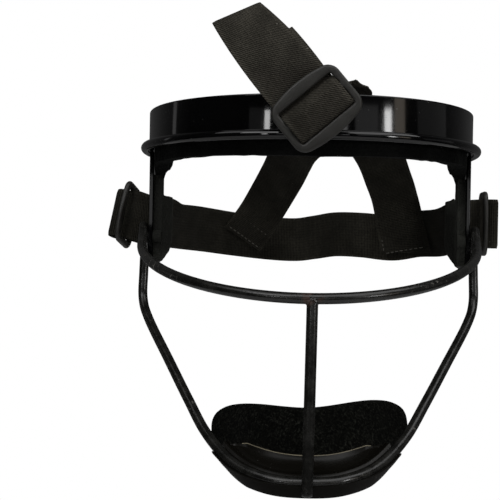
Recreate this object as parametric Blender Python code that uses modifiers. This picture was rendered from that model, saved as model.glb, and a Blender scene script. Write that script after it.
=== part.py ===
"""A softball fielder mask: glossy band with side arms, foam pads, wire cage, chin cup and straps.

Metres, +Z up. +X is to the right of someone facing the mask, and +Y runs back towards the wearer's nape.
The origin is the middle of the brow pad's inner face, where the mask sits on the forehead.
"""

from math import acos, atan2, cos, pi, radians, sin, sqrt, tan

import bmesh
import bpy
from mathutils import Matrix, Vector

# Fits
CLEARANCE = 0.0003
MERGE = 0.00001

# Band: outside width, depth from brow to temples, and the section of its wall and bead
BAND_WIDTH = 0.190
BAND_DEPTH = 0.123
BAND_ROUNDNESS = 2.16
BAND_TAIL = 0.008
BAND_WALL = 0.0025
BAND_TOP = 0.0173
BEAD_CENTRE_Z = -0.0038
BEAD_RADIUS = 0.0026
BEAD_SINK = 0.0004
BAND_EDGE_RADIUS = 0.0008

# Brow pad
PAD_THICKNESS = 0.010
PAD_HEIGHT = 0.0272
PAD_CORNER = 0.0018
SHOULDER_LENGTH = 0.028
SHOULDER_DROP = 0.0085
SHOULDER_CUT = 0.0060
SHOULDER_CUT_HEIGHT = 0.0136
PAD_BACK = 0.0030

# Side arms and plates, moulded with the band
ARM_WALL = 0.0020
ARM_WIDTH = 0.0135
ARM_FRONT_AHEAD = 0.0107
PLATE_LENGTH = 0.0530
PLATE_TOP = -0.0220
PLATE_REAR_HEIGHT = 0.0480
PLATE_FRONT_HEIGHT = 0.0540
PLATE_FRONT_LENGTH = 0.0159
PLATE_CORNER = 0.0060
SLOT_WIDTH = 0.0050
SLOT_REAR_WEB = 0.0050
SLOT_SPARE = 0.0024

# Side pads
SIDE_PAD_THICKNESS = 0.0048
SIDE_PAD_INSET = 0.0030
SIDE_PAD_TOP_GAP = 0.0080
SIDE_PAD_SLOT_GAP = 0.0020
SIDE_PAD_BROAD_HEIGHT = 0.0310
SIDE_PAD_FRONT_LENGTH = 0.0160
SIDE_PAD_STEP_RADIUS = 0.0015

# Wire cage
WIRE_RADIUS = 0.0026
CAGE_SIDE_GAP = 0.0009
CHEEK_AHEAD = 0.0269
CHEEK_DROP = 0.1003
CHEEK_END_TURN = 86.8
CHEEK_END_BACK = 0.0045
CHEEK_END_BELOW = 0.0262
CHEEK_END_RISE = 0.0076
CHEEK_RISE_LENGTH = 0.028
CHIN_BEHIND_CHEEK = 0.0027
CHIN_DROP = 0.1211
CHIN_SWAY = 0.0009
CHIN_TOP_SINK = 0.0015
NOSE_AHEAD = 0.0034
NOSE_BELOW_CHIN = 0.0050
NOSE_RADIUS = 0.00265
STUD_RADIUS = 0.0018
STUD_BELOW_END = 0.0065
STUD_PROUD = 0.0022
STUD_PLAY = 0.0003
CAP_RADIUS = 0.0036
CAP_HEIGHT = 0.0024

# Chin cup and pad
CUP_HALF_SPAN = 0.0375
CUP_GRIP_GAP = 0.0005
CUP_WALL = 0.0018
CUP_FLOOR = 0.0014
CUP_FRONT_AHEAD = 0.0008
CUP_RISE = 0.0102
CUP_LIP = 0.0038
CUP_BACK = 0.0160
CUP_END = 0.25
CHIN_PAD_HALF_SPAN = 0.0505
CHIN_PAD_HEIGHT = 0.0350
CHIN_PAD_THICKNESS = 0.0085
CHIN_PAD_BOW = 0.0450
CHIN_PAD_BEND = 1.55
CHIN_PAD_LEAN = 0.0070
CHIN_PAD_BELOW_RIM = 0.0150
CHIN_PAD_SQUARENESS = 3.4
CHIN_PAD_END = 0.12

# Straps and buckles
STRAP_THICKNESS = 0.0016
BACK_STRAP_WIDTH = 0.0310
CROWN_STRAP_WIDTH = 0.0305
TOP_STRAP_WIDTH = 0.0325
STRAP_DROP = 0.0220
BACK_STRAP_DEPTH = 0.108
BACK_STRAP_SAG = 0.0120
BUCKLE_END_BAR = 0.00355
BUCKLE_WIDTH = 0.0240
BUCKLE_THICKNESS = 0.0030
BUCKLE_BAR = 0.0035
BUCKLE_CENTRE_BAR = 0.0030
BUCKLE_SLOT_SPARE = 0.0010
BUCKLE_SLOT_CORNER = 0.0010
BUCKLE_BULGE = 0.0014
BUCKLE_CORNER = 0.0050
SIDE_BUCKLE_OUT = 0.0163
SIDE_BUCKLE_BACK = 0.0095
SIDE_BUCKLE_RAISE = 0.0010
SIDE_BUCKLE_SPLAY = 7.0
LEFT_BUCKLE_LEAN = 14.0
CROWN_LEFT_SEAT = -0.0455
CROWN_LEFT_BELOW = 0.0110
CROWN_RIGHT_SEAT = 0.0657
CROWN_RIGHT_BELOW = 0.0184
BROW_JOINT_SIDE = 0.0150
BROW_JOINT_BACK = 0.0200
BROW_JOINT_LAP = 0.0140
TOP_STRAP_RISE = 0.0050
TOP_BUCKLE_SIDE = 0.0023
TOP_BUCKLE_AHEAD = 0.0112
TOP_BUCKLE_BELOW = 0.0083
TOP_BUCKLE_SLOPE = 40.4
TAB_LENGTH = 0.0510
TAB_SLOPE = 52.0
TAB_TWIST = 36.0
TAB_CUT = 12.0
TAB_LEAN = 0.0064
TAIL_LENGTH = 0.0275
TAIL_SHIFT = 0.0010
TAIL_GAP = 0.0009

# Where things meet, worked out from the sizes above
BAND_INNER_Y = -PAD_THICKNESS - CLEARANCE
BAND_FRONT_Y = BAND_INNER_Y - BAND_WALL
TEMPLE_Y = BAND_FRONT_Y + BAND_DEPTH
ARM_OUTER_X = BAND_WIDTH / 2
ARM_INNER_X = ARM_OUTER_X - ARM_WALL
ARM_FRONT_Y = TEMPLE_Y - ARM_FRONT_AHEAD
ARM_REAR_Y = ARM_FRONT_Y + ARM_WIDTH
PLATE_REAR_Y = ARM_FRONT_Y + PLATE_LENGTH
SLOT_Y = PLATE_REAR_Y - SLOT_REAR_WEB - SLOT_WIDTH / 2
STRAP_Z = PLATE_TOP - STRAP_DROP
CAGE_HALF = ARM_OUTER_X + CAGE_SIDE_GAP + WIRE_RADIUS
CHEEK_FRONT_Y = BAND_FRONT_Y - CHEEK_AHEAD
CHEEK_FRONT_Z = BAND_TOP - CHEEK_DROP
CHEEK_END_Y = ARM_FRONT_Y + CHEEK_END_BACK
CHEEK_END_Z = PLATE_TOP - CHEEK_END_BELOW
CHEEK_DEPTH = (CHEEK_END_Y - CHEEK_FRONT_Y) / (1 - cos(radians(CHEEK_END_TURN)))
CHEEK_SLOPE = (CHEEK_END_Z - CHEEK_END_RISE - CHEEK_FRONT_Z) / (CHEEK_END_Y - CHEEK_FRONT_Y)
CHIN_FRONT_Y = CHEEK_FRONT_Y + CHIN_BEHIND_CHEEK
BUCKLE_SLOT = max(BACK_STRAP_WIDTH, TOP_STRAP_WIDTH) + BUCKLE_SLOT_SPARE
BUCKLE_LENGTH = BUCKLE_SLOT + 2 * BUCKLE_END_BAR

# The brow pad's inner lower corner, inner face to lower face: shares of its cut inwards and upwards
SHOULDER_CORNER = (
    # inwards, upwards
    (0.00, 1.00),
    (0.30, 0.50),
    (0.75, 0.38),
    (1.00, 0.00),
)

# The chin wire's right half, from its top weld to the middle of the chin: shares of the cage's half
# width, of the reach forward and of the drop
CHIN_WIRE = (
    # across, forward, drop
    (1.000, 0.000, 0.000),
    (0.999, 0.033, 0.210),
    (0.986, 0.057, 0.345),
    (0.928, 0.152, 0.440),
    (0.775, 0.366, 0.602),
    (0.635, 0.552, 0.752),
    (0.530, 0.706, 0.878),
    (0.385, 0.862, 0.964),
    (0.200, 0.968, 0.994),
    (0.000, 1.000, 1.000),
)

# The nose bar's bend from the cheek bar down: shares of the way forward and of the drop to the chin wire
NOSE_BEND = (
    # forward, drop
    (0.00, 0.00),
    (0.70, 0.12),
    (1.00, 0.30),
)

# The back strap between the plates' slots, left to right: shares of the slots' half span, of its reach
# back and of its sag
BACK_STRAP = (
    # across, back, sag
    (-0.975, -0.005, 0.02),
    (-0.950, 0.060, 0.06),
    (-0.940, 0.180, 0.12),
    (-0.895, 0.440, 0.25),
    (-0.770, 0.690, 0.42),
    (-0.560, 0.880, 0.67),
    (-0.290, 0.975, 0.92),
    (-0.085, 0.985, 1.00),
    (0.065, 0.900, 0.84),
    (0.220, 0.790, 0.64),
    (0.410, 0.690, 0.62),
    (0.620, 0.600, 0.70),
    (0.790, 0.460, 0.52),
    (0.900, 0.250, 0.22),
    (0.940, 0.070, 0.06),
    (0.975, -0.005, 0.02),
)

# The crown straps, from their sewn ends on the back strap to the joint behind the brow: shares of the way
# across, forward and up, and the tilt of the strap's width in degrees
CROWN_LEFT = (
    # across, forward, up, tilt
    (0.000, 0.000, 0.000, -34),
    (0.125, 0.008, 0.156, -33),
    (0.242, 0.028, 0.312, -32),
    (0.463, 0.174, 0.619, -30),
    (0.559, 0.289, 0.755, -28),
    (0.675, 0.460, 0.835, -18),
    (0.858, 0.660, 0.895, -8),
    (0.958, 0.865, 0.945, -3),
    (1.000, 1.000, 1.000, 0),
)
CROWN_RIGHT = (
    # across, forward, up, tilt
    (0.000, 0.000, 0.000, -3),
    (0.050, 0.010, 0.200, 12),
    (0.120, 0.044, 0.455, 17),
    (0.235, 0.105, 0.630, 19),
    (0.353, 0.180, 0.776, 19),
    (0.550, 0.380, 0.880, 15),
    (0.750, 0.620, 0.950, 8),
    (0.920, 0.850, 0.985, 3),
    (1.000, 1.000, 1.000, 0),
)

# The top strap from the joint over the band's top edge: shares of the way from the top buckle's middle to
# the joint's side, from the strap's rear end to the buckle's rear side, and from the buckle's middle up to
# the strap's crest, with the tilt of its width in degrees
TOP_STRAP_OVER = (
    # side, ahead, rise, tilt
    (1.000, 0.000, 0.818, 0),
    (1.000, 0.253, 0.818, 0),
    (0.920, 0.469, 0.860, 1),
    (0.685, 0.614, 0.965, 5),
    (0.450, 0.722, 1.000, 8),
    (0.300, 0.857, 0.910, 9),
    (0.210, 0.910, 0.553, 26),
    (0.165, 0.949, 0.114, 36),
)

# The top strap round the top buckle's middle bar: shares of half the buckle's width along its way up, and
# of the strap's distance in front of the buckle's middle
TOP_STRAP_LOOP = (
    # climb, ahead
    (-0.300, -1.15),
    (-0.500, -0.62),
    (-0.570, 0.00),
    (-0.500, 0.62),
    (-0.300, 0.95),
    (0.000, 1.00),
    (0.170, 0.96),
    (0.433, 0.00),
    (0.620, -0.85),
)

# The strap outside a plate, from its slot through the buckle, round the middle bar and back to its cut
# end: shares of the way out from the arm's inner face to the buckle's middle, of the buckle's width behind
# that middle, and of the buckle's lean
SIDE_LOOP = (
    # out, behind, lean
    (0.10, -0.40, 0.0),
    (0.36, -0.39, 0.1),
    (0.70, -0.30, 0.6),
    (1.00, -0.12, 1.0),
    (1.42, -0.19, 1.0),
    (1.66, -0.08, 1.0),
    (1.57, 0.12, 1.0),
    (1.30, 0.18, 1.0),
    (1.00, 0.12, 1.0),
    (0.74, 0.29, 0.9),
    (0.52, 0.52, 0.8),
    (0.38, 0.80, 0.8),
)

COLLECTION = "softball_fielder_mask"
CUTTERS = "cutters"


def clear_scene():
    """Remove every object that the file holds."""
    for old in list(bpy.data.objects):
        bpy.data.objects.remove(old, do_unlink=True)


def collection(name):
    """The collection of that name, linked to the scene."""
    group = bpy.data.collections.get(name) or bpy.data.collections.new(name)
    if group.name not in bpy.context.scene.collection.children:
        bpy.context.scene.collection.children.link(group)
    return group


def finish(name, colour, roughness, metallic=0.0):
    """A Principled material of one colour."""
    material = bpy.data.materials.new(name)
    material.use_nodes = True
    shader = material.node_tree.nodes["Principled BSDF"]
    shader.inputs["Base Color"].default_value = (*colour, 1.0)
    shader.inputs["Roughness"].default_value = roughness
    shader.inputs["Metallic"].default_value = metallic
    material.diffuse_color = (*colour, 1.0)
    return material


def add_part(name, mesh, material, group=COLLECTION):
    """An object for a finished mesh, smooth where its faces meet gently."""
    part = bpy.data.objects.new(name, mesh)
    collection(group).objects.link(part)
    if material is not None:
        mesh.materials.clear()
        mesh.materials.append(material)
    mesh.shade_smooth()
    mesh.set_sharp_from_angle(angle=radians(35))
    return part


def blend(start, end, share):
    """The value that lies that share of the way from start to end."""
    return start + (end - start) * share


def smooth_rows(rows, steps):
    """Rows of numbers read more finely from a smooth curve through them."""
    fine = []
    last = len(rows) - 1
    for index in range(last):
        before = rows[max(index - 1, 0)]
        start, end = rows[index], rows[index + 1]
        after = rows[min(index + 2, last)]
        for step in range(steps):
            share = step / steps
            fine.append(tuple(
                0.5 * (2 * b + (c - a) * share + (2 * a - 5 * b + 4 * c - d) * share ** 2
                       + (3 * b - a - 3 * c + d) * share ** 3)
                for a, b, c, d in zip(before, start, end, after)))
    fine.append(tuple(rows[-1]))
    return fine


def rounded(corners, steps=4):
    """A closed outline whose corners, each (a, b, radius), are arcs."""
    outline = []
    for index, (a, b, radius) in enumerate(corners):
        here = Vector((a, b))
        beside = [Vector(corners[(index + way) % len(corners)][:2]) for way in (-1, 1)]
        towards = [(corner - here).normalized() for corner in beside]
        if radius <= 0:
            outline.append(here)
            continue
        half = towards[0].angle(towards[1]) / 2
        centre = here + (towards[0] + towards[1]).normalized() * radius / sin(half)
        arms = [here + way * radius / tan(half) - centre for way in towards]
        turn = arms[0].angle_signed(arms[1])
        for step in range(steps + 1):
            outline.append(centre + Matrix.Rotation(-turn * step / steps, 2) @ arms[0])
    return outline


def loft(name, rings, material, group=COLLECTION):
    """A solid through like sections: the first is a face, and each next one is extruded from it."""
    build = bmesh.new()
    corners = [build.verts.new(point) for point in rings[0]]
    outline = [build.edges.new((corner, corners[index - 1])) for index, corner in enumerate(corners)]
    face = bmesh.ops.contextual_create(build, geom=outline)["faces"][0]
    order = [corners.index(vert) for vert in face.verts]
    for index, ring in enumerate(rings[1:]):
        start = face
        grown = bmesh.ops.extrude_face_region(build, geom=[start])["geom"]
        face = next(item for item in grown if isinstance(item, bmesh.types.BMFace))
        for vert, place in zip(face.verts, order):
            vert.co = ring[place]
        if index:
            build.faces.remove(start)
    bmesh.ops.recalc_face_normals(build, faces=build.faces)
    if build.calc_volume(signed=True) < 0:
        bmesh.ops.reverse_faces(build, faces=build.faces)
    mesh = bpy.data.meshes.new(name)
    build.to_mesh(mesh)
    build.free()
    return add_part(name, mesh, material, group)


def as_mesh(source, name, material, group=COLLECTION):
    """The mesh of a curve object with its caps welded, in place of the curve."""
    bpy.context.view_layer.update()
    evaluated = source.evaluated_get(bpy.context.evaluated_depsgraph_get())
    mesh = bpy.data.meshes.new_from_object(evaluated)
    mesh.name = name
    build = bmesh.new()
    build.from_mesh(mesh)
    build.transform(source.matrix_world)
    bmesh.ops.remove_doubles(build, verts=build.verts, dist=MERGE)
    bmesh.ops.recalc_face_normals(build, faces=build.faces)
    build.to_mesh(mesh)
    build.free()
    bpy.data.objects.remove(source, do_unlink=True)
    return add_part(name, mesh, material, group)


def wire(name, points, radius, material):
    """A round wire along the points, as a closed mesh."""
    curve = bpy.data.curves.new(name, "CURVE")
    curve.dimensions = "3D"
    curve.bevel_depth = radius
    curve.bevel_resolution = 3
    curve.use_fill_caps = True
    spline = curve.splines.new("POLY")
    spline.points.add(len(points) - 1)
    for point, place in zip(spline.points, points):
        point.co = (*place, 1.0)
    source = bpy.data.objects.new(name + "_path", curve)
    collection(COLLECTION).objects.link(source)
    return as_mesh(source, name, material)


def apply_boolean(part, tool, operation):
    """Join a solid to the part or cut it away, and remove the tool."""
    step = part.modifiers.new(tool.name, "BOOLEAN")
    step.object = tool
    step.operation = operation
    step.solver = "EXACT"
    bpy.context.view_layer.update()
    evaluated = part.evaluated_get(bpy.context.evaluated_depsgraph_get())
    result = bpy.data.meshes.new_from_object(evaluated)
    part.modifiers.clear()
    old = part.data
    part.data = result
    result.name = part.name
    bpy.data.meshes.remove(old)
    bpy.data.objects.remove(tool, do_unlink=True)
    result.shade_smooth()
    result.set_sharp_from_angle(angle=radians(35))


def cut(part, cutter):
    """Cut the part with a hidden cutter that stays in the cutters' collection."""
    cutter.hide_render = True
    cutter.display_type = "WIRE"
    step = part.modifiers.new(cutter.name, "BOOLEAN")
    step.object = cutter
    step.operation = "DIFFERENCE"
    step.solver = "EXACT"


def band_outline(steps=26):
    """The band's outer plan curve with its outward directions, from the left temple to the right one."""
    turns = [pi / 2 * step / steps for step in range(-steps, steps + 1)]
    points = []
    for turn in turns:
        across = abs(sin(turn)) ** (2 / BAND_ROUNDNESS) * BAND_WIDTH / 2
        back = TEMPLE_Y - BAND_DEPTH * abs(cos(turn)) ** (2 / BAND_ROUNDNESS)
        points.append(Vector((across if turn > 0 else -across, back)))
    tail = Vector((0, BAND_TAIL))
    points = [points[0] + tail] + points + [points[-1] + tail]
    stations = []
    for index, point in enumerate(points):
        way = points[min(index + 1, len(points) - 1)] - points[max(index - 1, 0)]
        out = Vector((way.y, -way.x)).normalized()
        stations.append((point, out))
    return stations


def band_section():
    """The band's wall with its bead, as (outwards, height) from the wall's outer face."""
    centre = BEAD_RADIUS - BEAD_SINK
    reach = pi - acos(centre / BEAD_RADIUS)
    sides = 10
    bead = []
    for step in range(sides + 1):
        turn = blend(reach, -reach, step / sides)
        bead.append(Vector((centre + BEAD_RADIUS * cos(turn), BEAD_CENTRE_Z + BEAD_RADIUS * sin(turn))))
    wall = rounded([(-BAND_WALL, BAND_TOP, BAND_EDGE_RADIUS), (0, BAND_TOP, BAND_EDGE_RADIUS),
                    (0, BEAD_CENTRE_Z, 0), (-BAND_WALL, bead[-1].y, 0)], 2)
    top = wall[:6]
    return top + bead + [wall[-1]]


def ring_at(point, out, section):
    """A flat (outwards, height) section stood on the plan curve at one of its points."""
    return [Vector((*(point + out * corner[0]), corner[1])) for corner in section]


def side_prism(name, outline, side, inner_x, outer_x, material, group=COLLECTION):
    """A flat (back, height) outline as a plate between two distances from the middle, on one side."""
    rings = [[Vector((side * distance, *corner)) for corner in outline] for distance in (inner_x, outer_x)]
    return loft(name, rings, material, group)


def arm_outline():
    """The side arm and its plate, seen from the side."""
    bottom = PLATE_TOP - PLATE_FRONT_HEIGHT
    return rounded([
        (ARM_FRONT_Y, BEAD_CENTRE_Z, 0),
        (ARM_REAR_Y, BEAD_CENTRE_Z, 0),
        (ARM_REAR_Y, PLATE_TOP, PLATE_CORNER / 2),
        (PLATE_REAR_Y, PLATE_TOP, PLATE_CORNER / 2),
        (PLATE_REAR_Y, PLATE_TOP - PLATE_REAR_HEIGHT, PLATE_CORNER),
        (ARM_FRONT_Y + PLATE_FRONT_LENGTH, bottom, PLATE_CORNER),
        (ARM_FRONT_Y, bottom, PLATE_CORNER),
    ])


def slot_outline():
    """A strap slot seen from the side."""
    front, rear = SLOT_Y - SLOT_WIDTH / 2, SLOT_Y + SLOT_WIDTH / 2
    half = BACK_STRAP_WIDTH / 2 + SLOT_SPARE
    low, high = STRAP_Z - half, STRAP_Z + half
    return rounded([(back, height, SLOT_WIDTH / 4)
                    for back, height in ((front, low), (rear, low), (rear, high), (front, high))])


def stud_place(side):
    """Where a cage stud crosses the arm."""
    end = cheek_point(side * CHEEK_END_TURN)
    return Vector((side * ARM_INNER_X, end.y, end.z - STUD_BELOW_END))


def cross_cylinder(name, side, centre, radius, inner_x, outer_x, material, group=COLLECTION, sides=20):
    """A round bar along X between two distances from the middle."""
    turns = [2 * pi * step / sides for step in range(sides)]
    circle = [(centre.y + radius * cos(turn), centre.z + radius * sin(turn)) for turn in turns]
    return side_prism(name, circle, side, inner_x, outer_x, material, group)


def build_band(material):
    """The forehead band with its bead, side arms, plates, strap slots and stud holes."""
    section = band_section()
    band = loft("forehead_band", [ring_at(point, out, section) for point, out in band_outline()], material)
    for side in (-1, 1):
        label = "left" if side < 0 else "right"
        arm = side_prism("arm_" + label, arm_outline(), side, ARM_INNER_X, ARM_OUTER_X, material)
        apply_boolean(band, arm, "UNION")
    for side in (-1, 1):
        label = "left" if side < 0 else "right"
        inner, outer = ARM_INNER_X - ARM_WALL, ARM_OUTER_X + ARM_WALL
        cut(band, side_prism("slot_cutter_" + label, slot_outline(), side, inner, outer, None, CUTTERS))
        cut(band, cross_cylinder("stud_hole_cutter_" + label, side, stud_place(side),
                                 STUD_RADIUS + STUD_PLAY, inner, outer, None, CUTTERS))
    return band


def build_brow_pad(material):
    """The foam inside the band, whose ends step down and thin out beside the arms."""
    outer = -BAND_WALL - CLEARANCE
    inner = outer - PAD_THICKNESS
    rings = []
    for point, out in band_outline():
        if point.y > TEMPLE_Y + PAD_BACK:
            continue
        share = max(0.0, 1 - (TEMPLE_Y + PAD_BACK - point.y) / SHOULDER_LENGTH)
        bottom = -PAD_HEIGHT / 2 - SHOULDER_DROP * share
        cut_in = blend(PAD_CORNER, SHOULDER_CUT, share)
        cut_up = blend(PAD_CORNER, SHOULDER_CUT_HEIGHT, share)
        arm_gap = max(0.0, ARM_WALL + CLEARANCE - BAND_WALL)
        section = [
            (outer - arm_gap, bottom), (outer - arm_gap, PAD_HEIGHT / 2),
            (inner + PAD_CORNER, PAD_HEIGHT / 2), (inner, PAD_HEIGHT / 2 - PAD_CORNER),
        ]
        for inwards, upwards in SHOULDER_CORNER:
            section.append((inner + cut_in * inwards, bottom + cut_up * upwards))
        rings.append(ring_at(point, out, section))
    return loft("brow_pad", rings, material)


def side_pad_outline():
    """A side pad seen from the side: a strip up the arm and a broad lower part on the plate."""
    front = ARM_FRONT_Y + SIDE_PAD_INSET
    rear = SLOT_Y - SLOT_WIDTH / 2 - SIDE_PAD_SLOT_GAP
    top = -PAD_HEIGHT / 2 - SHOULDER_DROP - CLEARANCE
    broad_top = PLATE_TOP - SIDE_PAD_TOP_GAP
    tip = PLATE_TOP - PLATE_FRONT_HEIGHT + PLATE_CORNER / 2
    return rounded([
        (front, top, 0.0),
        (ARM_REAR_Y - CLEARANCE, top, 0.0),
        (ARM_REAR_Y - CLEARANCE, broad_top, SIDE_PAD_STEP_RADIUS),
        (rear, broad_top, PLATE_CORNER / 2),
        (rear, broad_top - SIDE_PAD_BROAD_HEIGHT, PLATE_CORNER),
        (front + SIDE_PAD_FRONT_LENGTH, tip, PLATE_CORNER),
        (front, tip, PLATE_CORNER / 2),
    ])


def build_side_pad(side, label, material):
    """The foam inside one side plate, cut out round the stud's cap."""
    outer = ARM_INNER_X - CLEARANCE
    inner = outer - SIDE_PAD_THICKNESS
    pad = side_prism("side_pad_" + label, side_pad_outline(), side, inner, outer, material)
    cut(pad, cross_cylinder("cap_hole_cutter_" + label, side, stud_place(side), CAP_RADIUS + 2 * CLEARANCE,
                            inner - CLEARANCE, outer + CLEARANCE, None, CUTTERS))
    return pad


def cheek_point(turn_degrees):
    """A point on the cheek bar's centre line; the turn is 0 in front and grows to the right."""
    turn = radians(turn_degrees)
    back = CHEEK_FRONT_Y + CHEEK_DEPTH * (1 - cos(turn))
    share = max(0.0, 1 - (CHEEK_END_Y - back) / CHEEK_RISE_LENGTH)
    height = CHEEK_FRONT_Z + CHEEK_SLOPE * (back - CHEEK_FRONT_Y) + CHEEK_END_RISE * share ** 3
    return Vector((CAGE_HALF * sin(turn), back, height))


def chin_points():
    """The chin wire's centre line, from the right weld under the chin to the left one."""
    top = CHEEK_END_Z - CHIN_TOP_SINK
    rows = list(CHIN_WIRE) + [(-across, forward, drop) for across, forward, drop in reversed(CHIN_WIRE[:-1])]
    return [Vector((CAGE_HALF * across - CHIN_SWAY * drop ** 2, blend(CHEEK_END_Y, CHIN_FRONT_Y, forward),
                    top - CHIN_DROP * drop))
            for across, forward, drop in smooth_rows(rows, 4)]


def chin_front():
    """The middle of the chin wire."""
    return min(chin_points(), key=lambda point: point.y)


def build_cage(material):
    """Cheek bar, chin wire, nose bar and studs, welded into one."""
    turns = 52
    cheek = [cheek_point(blend(-CHEEK_END_TURN, CHEEK_END_TURN, step / turns)) for step in range(turns + 1)]
    cage = wire("wire_cage", cheek, WIRE_RADIUS, material)
    apply_boolean(cage, wire("chin_wire", chin_points(), WIRE_RADIUS, material), "UNION")
    top, chin = cheek_point(0), chin_front()
    front = chin.y - NOSE_AHEAD
    nose = [Vector((0, blend(top.y, front, forward), blend(top.z, chin.z, drop)))
            for forward, drop in NOSE_BEND]
    nose.append(Vector((0, front, chin.z - NOSE_BELOW_CHIN)))
    apply_boolean(cage, wire("nose_bar", nose, NOSE_RADIUS, material), "UNION")
    for side in (-1, 1):
        tip = ARM_INNER_X - STUD_PROUD
        stud = cross_cylinder("stud", side, stud_place(side), STUD_RADIUS, tip, CAGE_HALF, material)
        apply_boolean(cage, stud, "UNION")
    return cage


def build_stud_cap(side, label, material):
    """The push cap on one stud, inside the arm: a short cup whose floor covers the stud's end."""
    outer = ARM_INNER_X - CLEARANCE
    cap = cross_cylinder("stud_cap_" + label, side, stud_place(side), CAP_RADIUS, outer - CAP_HEIGHT, outer,
                         material)
    bore = cross_cylinder("cap_bore_cutter_" + label, side, stud_place(side), STUD_RADIUS + CLEARANCE,
                          ARM_INNER_X - STUD_PROUD - CLEARANCE, ARM_OUTER_X, None, CUTTERS)
    cut(cap, bore)
    return cap


def chin_line(across):
    """The chin wire's centre line read at a distance from the middle."""
    points = sorted(chin_points(), key=lambda point: point.x)
    for left, right in zip(points, points[1:]):
        if left.x <= across <= right.x:
            share = (across - left.x) / (right.x - left.x)
            return left.lerp(right, share)
    return points[0] if across < 0 else points[-1]


def cup_section(fullness):
    """The cup's section as (behind, above) the wire's centre: lip, groove for the wire, shelf and rim."""
    grip = WIRE_RADIUS + CUP_GRIP_GAP
    lip = -grip - CUP_LIP * fullness
    front = -CUP_FRONT_AHEAD
    throat = grip / 2
    shelf = (grip + CUP_RISE) / 2
    middle = CUP_BACK / 2
    back = grip + CUP_WALL
    return [
        (front, lip), (front, -grip), (throat, -grip), (grip, -throat), (grip, throat), (throat, grip),
        (front, grip), (front, grip + CUP_FLOOR), (middle, shelf), (CUP_BACK - CUP_WALL / 2, CUP_RISE),
        (CUP_BACK, CUP_RISE), (CUP_BACK, CUP_RISE - CUP_WALL), (middle + CUP_WALL, shelf - CUP_WALL),
        (back, throat), (back, -grip), (front + CUP_WALL, -grip - CUP_FLOOR * fullness),
        (front + CUP_WALL, lip),
    ]


def build_chin_cup(material):
    """The plastic cup, clipped round the chin wire and following it."""
    stations = 24
    step = CUP_HALF_SPAN / stations
    rings = []
    for index in range(stations + 1):
        share = blend(-1, 1, index / stations)
        across = CUP_HALF_SPAN * share
        here = chin_line(across)
        way = (chin_line(across + step) - chin_line(across - step)).xy.normalized()
        behind = Vector((-way.y, way.x))
        fullness = max(CUP_END, sqrt(1 - share ** 4))
        rings.append([Vector((*(here.xy + behind * corner[0]), here.z + corner[1]))
                      for corner in cup_section(fullness)])
    return loft("chin_cup", rings, material)


def build_chin_pad(material):
    """The bean-shaped foam pad that stands behind the cup, bowed round the chin."""
    chin = chin_front()
    middle_z = chin.z + CUP_RISE - CHIN_PAD_BELOW_RIM + CHIN_PAD_HEIGHT / 2
    rim_lean = 2 * CHIN_PAD_LEAN * (CHIN_PAD_BELOW_RIM - CUP_WALL) / CHIN_PAD_HEIGHT
    slant = atan2(2 * CHIN_PAD_LEAN, CHIN_PAD_HEIGHT)
    foot_y = chin.y + CUP_BACK + CLEARANCE + CHIN_PAD_THICKNESS / 2 / cos(slant) - rim_lean
    build = bmesh.new()
    bmesh.ops.create_grid(build, x_segments=25, y_segments=7, size=1.0)
    for vert in build.verts:
        u, v, _ = vert.co
        ends = max(0.0, 1 - abs(u) ** CHIN_PAD_SQUARENESS) ** (1 / CHIN_PAD_SQUARENESS)
        half = CHIN_PAD_HEIGHT / 2 * max(ends, CHIN_PAD_END)
        back = foot_y + CHIN_PAD_LEAN * (1 + v) + CHIN_PAD_BOW * abs(u) ** CHIN_PAD_BEND
        vert.co = (CHIN_PAD_HALF_SPAN * u, back, middle_z + half * v)
    mesh = bpy.data.meshes.new("chin_pad")
    build.to_mesh(mesh)
    build.free()
    pad = add_part("chin_pad", mesh, material)
    foam = pad.modifiers.new("foam", "SOLIDIFY")
    foam.thickness = CHIN_PAD_THICKNESS
    foam.offset = 0.0
    return pad


def ribbon(name, stations, width, material, press=None, columns=1):
    """A flat strap along stations, each a point and a direction across; press keeps it off a neighbour."""
    rings = []
    last = len(stations) - 1
    for index, (point, across) in enumerate(stations):
        way = (stations[min(index + 1, last)][0] - stations[max(index - 1, 0)][0]).normalized()
        side = across / (across - way * across.dot(way)).length
        face = way.cross(side).normalized() * STRAP_THICKNESS / 2
        edge = [point + side * width * (column / columns - 0.5) for column in range(columns + 1)]
        if press:
            edge = [press(place) for place in edge]
        rings.append([place - face for place in edge] + [place + face for place in reversed(edge)])
    return loft(name, rings, material)


def buckle_place(side):
    """The middle of a side buckle."""
    across = ARM_OUTER_X + SIDE_BUCKLE_OUT - ARM_WALL / 2
    return Vector((side * across, SLOT_Y + SIDE_BUCKLE_BACK, STRAP_Z + SIDE_BUCKLE_RAISE))


def loop_stations(side):
    """The strap outside one plate, from its slot to its cut end."""
    centre = buckle_place(side)
    lean = -side * radians(LEFT_BUCKLE_LEAN if side < 0 else 0.0)
    stations = []
    for out, behind, leaning in smooth_rows(SIDE_LOOP, 3):
        x = side * blend(ARM_INNER_X, abs(centre.x), out)
        point = Vector((x, centre.y + BUCKLE_WIDTH * behind, centre.z))
        turn = Matrix.Rotation(lean * min(max(leaning, 0.0), 1.0), 3, "Y")
        stations.append((centre + turn @ (point - centre), turn @ Vector((0, 0, 1))))
    return stations


def inner_stations():
    """The back strap between the slots."""
    span = ARM_OUTER_X - ARM_WALL / 2
    up = Vector((0, 0, 1))
    return [(Vector((span * across, SLOT_Y + BACK_STRAP_DEPTH * back, STRAP_Z - BACK_STRAP_SAG * sag)), up)
            for across, back, sag in smooth_rows(BACK_STRAP, 4)]


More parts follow.
